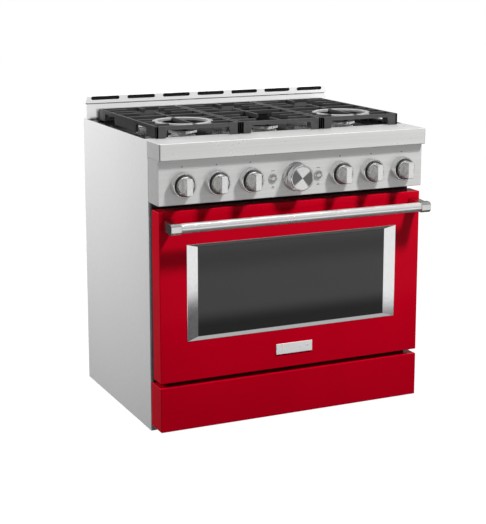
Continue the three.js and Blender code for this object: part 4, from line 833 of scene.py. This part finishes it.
# ---- Burner knobs ----
# A turned metal disc with a milled grip blade across its face. Each slides on its valve stem,
# is pushed in and then turned.
knob_metal = finish(
    "knob metal", skin, {"Grain": 1600.0}, [(0.48, 0.48, 0.475), (0.58, 0.58, 0.575)], (0.16, 0.26),
    metallic=0.9, bump=0.02, depth=0.05
)
blade_metal = finish(
    "blade metal", brushing, {"Stretch": (1200.0, 1200.0, 8.0)}, [(0.7, 0.7, 0.695), (0.82, 0.82, 0.815)],
    (0.24, 0.34), metallic=0.8, bump=0.04, depth=0.03
)
KNOB_RADIUS = 28.4 * MM
for served, x in knob_xs.items():
    node = f"burner_knob_{served}"
    low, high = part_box(node)
    disc_front = panel_face - 34.2 * MM
    deep = high.y - disc_front
    disc_outline = [
        (0, 0), (KNOB_RADIUS - 1.5 * MM, 0), (KNOB_RADIUS, 1.5 * MM), (KNOB_RADIUS, deep - 4 * MM),
        (KNOB_RADIUS - 3.4 * MM, deep), (KNOB_RADIUS - 5 * MM, deep - 0.8 * MM), (0, deep - 0.8 * MM),
    ]
    disc = turned(eased(disc_outline, 1.6 * MM, 4), (x, high.y, knob_z), 72, True)
    piece(f"knob_disc_{served}", disc, knob_metal, f"burner_knob_{served}_grip", "polished", node)
    wide = 10 * MM
    tall = 25 * MM
    blade_low = (x - wide, low.y, knob_z - tall)
    blade = rounded_block(blade_low, (x + wide, disc_front + 3 * MM, knob_z + tall), 2.2 * MM, 4)
    piece(f"knob_blade_{served}", blade, blade_metal, f"burner_knob_{served}_grip", "polished")

# ---- Oven knob ----
# A broad round dial with a chrome edge and a face brushed in circles, with a painted sheen on the face.
# It turns the thermostat.
circles, circles_in, circles_out = effect(
    "circular brushing and painted sheen",
    [("Vector", "Vector", None), ("Centre", "Vector", (0.0, 0.0, 0.0)), ("Lines", "Float", 1500.0)],
    ["Tone", "Height"],
)
circle_from = add_node(
    circles, "ShaderNodeVectorMath", circles_in.outputs["Vector"], circles_in.outputs["Centre"],
    operation="SUBTRACT"
)
circle_split = add_node(circles, "ShaderNodeSeparateXYZ", circle_from)
circle_flat = add_node(
    circles, "ShaderNodeCombineXYZ", X=circle_split.outputs["X"], Z=circle_split.outputs["Z"]
)
circle_radius = add_node(circles, "ShaderNodeVectorMath", circle_flat, operation="LENGTH")
circle_row = add_node(
    circles, "ShaderNodeMath", circle_radius.outputs["Value"], circles_in.outputs["Lines"],
    operation="MULTIPLY"
)
circle_line = add_node(circles, "ShaderNodeCombineXYZ", X=circle_row)
circle_noise = noise(circles, circle_line.outputs[0], 1.0, 2.0)
feed(circles, circles_out, Height=circle_noise)
# Painted sheen: the face's colour runs light in two fans above and below the centre and dark at the sides,
# standing in for the highlight that circular brushing catches.
circle_angle = add_node(
    circles, "ShaderNodeMath", circle_split.outputs["X"], circle_split.outputs["Z"], operation="ARCTAN2"
)
circle_double = add_node(circles, "ShaderNodeMath", circle_angle, 2.0, -0.25, operation="MULTIPLY_ADD")
painted_sheen_fan = add_node(circles, "ShaderNodeMath", circle_double, operation="COSINE")
painted_sheen_tone = add_node(circles, "ShaderNodeMapRange", From_Min=-0.3, From_Max=0.35, Value=painted_sheen_fan)
painted_sheen_tone.interpolation_type = "SMOOTHSTEP"
feed(circles, circles_out, Tone=painted_sheen_tone)
dial_face_painted_sheen = finish(
    "circle-brushed dial with painted sheen", circles, {"Centre": (0.0, 0.0, knob_z), "Lines": 1500.0},
    [(0.16, 0.16, 0.158), (0.8, 0.8, 0.795)], (0.22, 0.3), metallic=1.0, bump=0.3, depth=0.05
)
oven_low, oven_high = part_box("oven_knob")
dial_radius = 0.5 * (oven_high.x - oven_low.x)
dial_back = panel_face - 19 * MM
dial_deep = dial_back - oven_low.y
body_outline = [
    (0, 0), (dial_radius - 1.5 * MM, 0), (dial_radius, 1.5 * MM), (dial_radius, dial_deep - 2.2 * MM),
    (dial_radius - 2.4 * MM, dial_deep), (dial_radius - 4.2 * MM, dial_deep),
    (dial_radius - 4.8 * MM, dial_deep - 1 * MM), (0, dial_deep - 1 * MM),
]
dial = turned(eased(body_outline, 1 * MM, 3), (0, dial_back, knob_z), 96, True)
piece("oven_dial_body", dial, chrome, "oven_knob_dial", "polished", "oven_knob")
face_outline = [
    (0, -0.6 * MM), (dial_radius - 4.9 * MM, -0.6 * MM), (dial_radius - 4.9 * MM, 0), (0, 0.5 * MM),
]
face = turned(face_outline, (0, oven_low.y + 0.9 * MM, knob_z), 96, True)
piece("oven_dial_face", face, dial_face_painted_sheen, "oven_knob_dial", "polished")
shaft_low = panel_face + 34 * MM
shaft_long = shaft_low - dial_back
shaft_outline = [(0, 0), (4 * MM, 0), (4 * MM, shaft_long), (0, shaft_long)]
shaft = turned(shaft_outline, (0, shaft_low, knob_z), 24, True)
piece("oven_dial_shaft", shaft, brass, "oven_knob_dial", "polished")

# ---- Push buttons ----
# Two domed metal buttons, for the oven light and the convection fan.
# A flange behind the panel keeps each one in.
for name, x in button_xs.items():
    low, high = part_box(name)
    deep = high.y - low.y
    outline = [
        (0, 0), (12 * MM, 0), (12 * MM, 2 * MM), (10 * MM, 2 * MM), (10 * MM, deep - 2.2 * MM),
        (9 * MM, deep - 1 * MM), (5 * MM, deep - 0.2 * MM), (0, deep),
    ]
    button = turned(eased(outline, 0.7 * MM, 3), (x, high.y, knob_z), 48, True)
    piece(f"{name}_cap_turned", button, knob_metal, f"{name}_cap", "polished", name)

# ---- Oven liner ----
# The welded box and front frame in speckled blue-black enamel, with five pairs of rack ledges.
# A woven seal is clipped round its mouth and a lamp sits in the back wall.
fleck, fleck_in, fleck_out = effect(
    "enamel fleck", [("Vector", "Vector", None), ("Size", "Float", 700.0)], ["Tone", "Height"]
)
fleck_cells = add_node(
    fleck, "ShaderNodeTexVoronoi", Vector=fleck_in.outputs["Vector"], Scale=fleck_in.outputs["Size"]
)
fleck_dot = add_node(
    fleck, "ShaderNodeMapRange", From_Min=0.22, From_Max=0.12, Value=fleck_cells.outputs["Distance"]
)
feed(fleck, fleck_out, Tone=fleck_dot, Height=fleck_cells.outputs["Distance"])
oven_enamel = finish(
    "speckled oven enamel", fleck, {"Size": 420.0}, [(0.012, 0.014, 0.022), (0.12, 0.13, 0.16)], (0.2, 0.34),
    bump=0.05
)
keep("oven_liner", oven_enamel)
woven = finish(
    "woven seal", brushing, {"Stretch": (500.0, 500.0, 500.0)}, [(0.03, 0.03, 0.03), (0.09, 0.09, 0.085)],
    (0.7, 0.9), bump=0.6, depth=0.4
)


def tube_along(tree, curve, sides, radius):
    """A round tube of the given sides and radius, swept along a curve."""
    section = add_node(tree, "GeometryNodeCurvePrimitiveCircle", Resolution=sides, Radius=radius)
    return add_node(tree, "GeometryNodeCurveToMesh", Curve=curve, Profile_Curve=section)


SEAL_INPUTS = [("Width", "Float"), ("Height", "Float"), ("Corner", "Float"), ("Thickness", "Float")]
SEAL_INPUTS += [("Material", "Material")]
seal, seal_in, seal_real = scatter_tree("seal round a mouth", SEAL_INPUTS)
seal_frame = add_node(
    seal, "GeometryNodeCurvePrimitiveQuadrilateral", Width=seal_in.outputs["Width"],
    Height=seal_in.outputs["Height"]
)
seal_corner = add_node(
    seal, "GeometryNodeFilletCurve", mode="POLY", Count=8, Curve=seal_frame, Radius=seal_in.outputs["Corner"]
)
seal_tube = tube_along(seal, seal_corner, 12, seal_in.outputs["Thickness"])
feed(seal, seal_real, Geometry=seal_tube)
door_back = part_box("door_outer_panel")[1].y
frame_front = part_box("oven_liner")[0].y
SEAL_RADIUS = 0.5 * (frame_front - door_back) - 0.3 * MM
cavity_mid = 0.5 * sum(v.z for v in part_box("convection_fan"))
upright = Matrix.Rotation(math.pi / 2, 4, "X")
values = {"Width": 0.784, "Height": 0.434, "Corner": 0.024, "Thickness": SEAL_RADIUS, "Material": woven}
spot = Matrix.Translation((0, 0.5 * (frame_front + door_back), cavity_mid))
grown("oven_door_seal", seal, values, "range_body", "black_plastic", spot @ upright)
wall_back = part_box("convection_fan")[1].y - 30 * MM
lamp_glass = finish(
    "frosted lamp glass", skin, {"Grain": 900.0}, [(0.75, 0.74, 0.7), (0.85, 0.84, 0.8)], (0.25, 0.4),
    bump=0.1
)
lamp_outline = [(0, 0), (30 * MM, 0), (30 * MM, 5 * MM), (24 * MM, 8 * MM), (14 * MM, 15 * MM), (0, 18 * MM)]
lamp = turned(eased(lamp_outline, 4 * MM, 4), (-0.25, wall_back - 0.5 * MM, cavity_mid + 0.12), 48, True)
piece("oven_lamp", lamp, lamp_glass, "range_body", "dark_glass")

# ---- Oven racks ----
# Two racks of bright plated wire: a bent outer frame with rods from front to back.
# They slide on the liner's ledges.
wire = finish(
    "plated wire", skin, {"Grain": 1500.0}, [(0.6, 0.6, 0.59), (0.74, 0.74, 0.73)], (0.16, 0.28),
    metallic=1.0, bump=0.05
)
RACK_INPUTS = [("Across", "Float"), ("Deep", "Float"), ("Rods", "Int"), ("Rod", "Float"), ("Rail", "Float")]
RACK_INPUTS += [("Material", "Material")]
rack_tree, rack_in, rack_real = scatter_tree("wire rack", RACK_INPUTS)
rack_mesh = rack_tree.nodes.new("GeometryNodeJoinGeometry")
rack_frame = add_node(
    rack_tree, "GeometryNodeCurvePrimitiveQuadrilateral", Width=rack_in.outputs["Across"],
    Height=rack_in.outputs["Deep"]
)
rack_bend = add_node(
    rack_tree, "GeometryNodeFilletCurve", mode="POLY", Count=6, Radius=12 * MM, Curve=rack_frame
)
rail_tube = tube_along(rack_tree, rack_bend, 14, rack_in.outputs["Rail"])
feed(rack_tree, rack_mesh, rail_tube)
rod_shape = add_node(
    rack_tree, "GeometryNodeMeshCylinder", Vertices=10, Radius=rack_in.outputs["Rod"],
    Depth=rack_in.outputs["Deep"]
)
rod_width = add_node(rack_tree, "ShaderNodeMath", rack_in.outputs["Across"], 0.92, operation="MULTIPLY")
rod_row = add_node(
    rack_tree, "GeometryNodeMeshGrid", Size_X=rod_width, Size_Y=0.0, Vertices_X=rack_in.outputs["Rods"],
    Vertices_Y=2
)
rod_points = add_node(rack_tree, "GeometryNodeMergeByDistance", Geometry=rod_row.outputs["Mesh"])
rod_each = add_node(
    rack_tree, "GeometryNodeInstanceOnPoints", Rotation=(math.pi / 2, 0, 0), Points=rod_points,
    Instance=rod_shape.outputs["Mesh"]
)
feed(rack_tree, rack_mesh, rod_each)
feed(rack_tree, rack_real, Geometry=rack_mesh)
for level in ("lower", "upper"):
    low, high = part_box(f"oven_rack_{level}")
    rail = 3 * MM
    values = {
        "Across": high.x - low.x - 2 * rail,
        "Deep": high.y - low.y - 2 * rail,
        "Rods": 21,
        "Rod": 1.7 * MM,
        "Rail": rail,
        "Material": wire,
    }
    spot = Matrix.Translation((0, 0.5 * (low.y + high.y), low.z + rail))
    node = f"oven_rack_{level}"
    grown(f"rack_{level}", rack_tree, values, f"{node}_wire", "polished", spot, (node,))

# ---- Oven burners and convection fan ----
# A pressed broiler box under the roof, a tube burner below the floor, and a bladed fan wheel
# behind a wire guard on the back wall.
for node in ("broil_burner", "bake_burner", "convection_fan"):
    keep(node, galvanised)
GUARD_INPUTS = [("Pitch", "Float"), ("Rings", "Int"), ("Wire", "Float"), ("Material", "Material")]
guard_tree, guard_in, guard_real = scatter_tree("fan guard", GUARD_INPUTS)
guard_line = add_node(guard_tree, "GeometryNodeMeshLine", Offset=(0, 0, 0), Count=guard_in.outputs["Rings"])
guard_ring = add_node(
    guard_tree, "GeometryNodeCurvePrimitiveCircle", Resolution=64, Radius=guard_in.outputs["Pitch"]
)
guard_index = guard_tree.nodes.new("GeometryNodeInputIndex")
guard_scale = add_node(guard_tree, "ShaderNodeMath", guard_index, 1.0, operation="ADD")
guard_each = add_node(
    guard_tree, "GeometryNodeInstanceOnPoints", Points=guard_line, Instance=guard_ring, Scale=guard_scale
)
guard_wires = add_node(guard_tree, "GeometryNodeRealizeInstances", Geometry=guard_each)
guard_tube = tube_along(guard_tree, guard_wires, 8, guard_in.outputs["Wire"])
feed(guard_tree, guard_real, Geometry=guard_tube)
guard_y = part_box("convection_fan")[0].y - 5 * MM
values = {"Pitch": 14 * MM, "Rings": 6, "Wire": 1.3 * MM, "Material": wire}
spot = Matrix.Translation((0, guard_y, cavity_mid))
grown("fan_guard_rings", guard_tree, values, "range_body", "polished", spot @ upright)


def rod(radius, length, move):
    """A plain round rod, moved into place from the origin."""
    shape = bmesh.new()
    bmesh.ops.create_cone(shape, cap_ends=True, segments=8, radius1=radius, radius2=radius, depth=length)
    shape.transform(move)
    return shape


spokes = []
GUARD_REACH = 84 * MM
post_long = wall_back - guard_y
for i in range(4):
    angle = math.pi * (0.25 + 0.5 * i)
    along = Vector((math.cos(angle) * GUARD_REACH, 0, math.sin(angle) * GUARD_REACH))
    tilt = Vector((0, 0, 1)).rotation_difference(along).to_matrix().to_4x4()
    middle = Vector((0, guard_y, cavity_mid)) + along / 2
    spokes.append(rod(1.5 * MM, GUARD_REACH, Matrix.Translation(middle) @ tilt))
    middle = (along.x, guard_y + 0.5 * post_long, cavity_mid + along.z)
    spokes.append(rod(2 * MM, post_long, Matrix.Translation(middle) @ upright))
piece("fan_guard_posts", joined(spokes), wire, "range_body", "polished")

# ---- Oven door ----
# A red enamelled outer shell and a black inner panel hold two tinted panes.
# A bright mitred trim frames the window, and a blank plate is riveted below it.
door = fold_edges(copy_of("door_outer_panel"), EDGE, skip=("+y",), steps=4)
piece("door_shell", door, red_enamel, "oven_door", "red_enamel", "door_outer_panel")
inner_panel = copy_of("door_inner_panel")
piece("door_inner", inner_panel, black_enamel, "oven_door", "black_enamel", "door_inner_panel")
trim_chrome = finish(
    "bright window trim", skin, {"Grain": 1500.0}, [(0.8, 0.8, 0.8), (0.88, 0.88, 0.88)], (0.08, 0.16),
    metallic=1.0, bump=0.02
)
trim = copy_of("window_trim")
flats = math.radians(4)
piece("window_trim_bright", trim, trim_chrome, "oven_door", "polished", "window_trim", sharp=flats)


def tinted_glass(name, colour, transmission):
    """Dark coated oven glass, with faint smears in its gloss."""
    made = finish(name, ripple, {"Wave": 25.0}, colour, (0.02, 0.05), bump=0.02, depth=0.2)
    shader = made.node_tree.nodes["Principled BSDF"]
    feed(made.node_tree, shader, Transmission_Weight=transmission, IOR=1.5)
    return made


outer_pane = tinted_glass("tinted outer glass", [(0.05, 0.05, 0.052), (0.07, 0.07, 0.072)], 0.75)
inner_pane = tinted_glass("tinted inner glass", [(0.35, 0.35, 0.36), (0.42, 0.42, 0.43)], 0.85)
keep("window_outer_glass", outer_pane)
keep("window_inner_glass", inner_pane)
plate = finish(
    "satin plate", brushing, {"Stretch": (8.0, 700.0, 700.0)}, [(0.72, 0.72, 0.715), (0.84, 0.84, 0.835)],
    (0.24, 0.34), metallic=0.3, bump=0.02, depth=0.03
)
plate_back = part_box("door_outer_panel")[0].y
PLATE_HALF = 63.2 * MM
PLATE_FOOT = 221.7 * MM
PLATE_TALL = 33.7 * MM
plate_low = (-PLATE_HALF, plate_back - 3 * MM, PLATE_FOOT)
plate_high = (PLATE_HALF, plate_back + 0.5 * MM, PLATE_FOOT + PLATE_TALL)
badge = rounded_block(plate_low, plate_high, 0.8 * MM, 3)
piece("badge_plate", badge, plate, "oven_door", "polished")
for side in ("left", "right"):
    keep(f"hinge_arm_{side}", galvanised)

# ---- Door handle ----
# A thick polished steel bar held between two chunky cast brackets with chamfered caps.
# The brackets are bolted through the door shell.
handle_steel = finish(
    "polished handle bar", brushing, {"Stretch": (6.0, 1500.0, 1500.0)},
    [(0.72, 0.72, 0.715), (0.82, 0.82, 0.815)], (0.2, 0.28), metallic=0.75, bump=0.05, depth=0.05
)
bar_low, bar_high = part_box("handle_bar")
bar_y = 0.5 * (bar_low.y + bar_high.y)
bar_z = 0.5 * (bar_low.z + bar_high.z)
bar_radius = 0.5 * (bar_high.z - bar_low.z)
bar_long = bar_high.x - bar_low.x
bar_outline = [(0, 0), (bar_radius, 0), (bar_radius, bar_long), (0, bar_long)]
handle = turned(eased(bar_outline, 1 * MM), (0, 0, 0), 72)
handle.transform(Matrix.Translation((bar_low.x, bar_y, bar_z)) @ Matrix.Rotation(math.pi / 2, 4, "Y"))
piece("handle_bar_polished", handle, handle_steel, "oven_door", "polished", "handle_bar")
cast_bright = finish(
    "polished casting", skin, {"Grain": 900.0}, [(0.62, 0.62, 0.615), (0.74, 0.74, 0.735)], (0.14, 0.22),
    metallic=1.0, bump=0.03
)
BRACKET_ROUND = 1.2 * MM
for side in ("left", "right"):
    node = f"handle_bracket_{side}"
    bracket = copy_of(node)
    sharp_edges = [e for e in bracket.edges if e.calc_face_angle_signed(0) > math.radians(20)]
    round_edges(bracket, sharp_edges, BRACKET_ROUND, clamped=True)
    piece(f"bracket_{side}", bracket, cast_bright, "oven_door", "polished", node)

# ---- Studio ----
# A plain pale floor that fades into white, soft lights from the front right, the left and above,
# and the camera.
pale = bpy.data.materials.new("pale floor")
pale.use_nodes = True
pale_tree = pale.node_tree
pale_shader = pale_tree.nodes["Principled BSDF"]
pale_place = pale_tree.nodes.new("ShaderNodeTexCoord")
pale_far = add_node(pale_tree, "ShaderNodeSeparateXYZ", pale_place.outputs["Object"])
pale_sweep = add_node(
    pale_tree, "ShaderNodeMapRange", From_Min=-1.4, From_Max=-1.65, To_Min=0.02, To_Max=0.85,
    Value=pale_far.outputs["Y"]
)
pale_sweep.interpolation_type = "SMOOTHSTEP"
seen = pale_tree.nodes.new("ShaderNodeLightPath").outputs["Is Camera Ray"]
pale_glow = add_node(pale_tree, "ShaderNodeMath", seen, pale_sweep, operation="MAXIMUM")
feed(
    pale_tree, pale_shader, Base_Color=(0.04, 0.04, 0.04, 1), Roughness=0.9, Specular_IOR_Level=0.0,
    Emission_Color=(1, 1, 1, 1), Emission_Strength=pale_glow
)
floor_mesh = bpy.data.meshes.new("floor")
FLOOR = 14.0
floor_corners = [(-FLOOR, -FLOOR, 0), (FLOOR, -FLOOR, 0), (FLOOR, FLOOR, 0), (-FLOOR, FLOOR, 0)]
floor_mesh.from_pydata(floor_corners, [], [(0, 1, 2, 3)])
floor_mesh.materials.append(pale)
placed("floor", floor_mesh)

room = bpy.data.worlds.new("white room")
room.use_nodes = True
bpy.context.scene.world = room
room_tree = room.node_tree
room_way = room_tree.nodes.new("ShaderNodeTexCoord")
room_split = add_node(room_tree, "ShaderNodeSeparateXYZ", room_way.outputs["Generated"])
room_rise = add_node(
    room_tree, "ShaderNodeMapRange", From_Min=0.05, From_Max=0.6, To_Min=0.2, To_Max=0.48,
    Value=room_split.outputs["Z"]
)
room_rise.interpolation_type = "SMOOTHSTEP"
seen = room_tree.nodes.new("ShaderNodeLightPath").outputs["Is Camera Ray"]
room_level = add_node(room_tree, "ShaderNodeMath", room_rise, seen, operation="MAXIMUM")
feed(room_tree, room_tree.nodes["Background"], Color=(1, 1, 1, 1), Strength=room_level)


def soft_light(name, place, target, size, power, mirrored=True):
    """A softbox aimed at a point, which bright metal may or may not mirror."""
    lamp_data = bpy.data.lights.new(name, "AREA")
    lamp_data.shape = "RECTANGLE"
    lamp_data.size = size[0]
    lamp_data.size_y = size[1]
    lamp_data.energy = power
    made = placed(name, lamp_data)
    made.location = place
    made.visible_camera = False
    made.visible_glossy = mirrored
    aim = Vector(target) - Vector(place)
    made.rotation_euler = aim.to_track_quat("-Z", "Y").to_euler()
    return made


soft_light("key", (1.3, -2.1, 3.6), (0, -0.2, 0.6), (0.5, 0.5), 250, mirrored=False)
soft_light("left", (-1.9, 0.7, 1.35), (-0.4, 0.0, 0.7), (0.9, 0.7), 46, mirrored=False)
soft_light("top", (0.0, 0.4, 3.2), (0, 0.1, 0.8), (3.0, 2.0), 40)

view = bpy.data.cameras.new("camera")
view.sensor_width = 36
view.lens = 91.96
view.shift_y = -0.10
camera = placed("camera", view)
camera.location = (-1.8553, -3.9280, 1.4552)
camera.rotation_euler = (math.pi / 2 - 0.1882, 0, -0.4335)
bpy.context.scene.camera = camera
bpy.context.scene.view_settings.view_transform = "Standard"
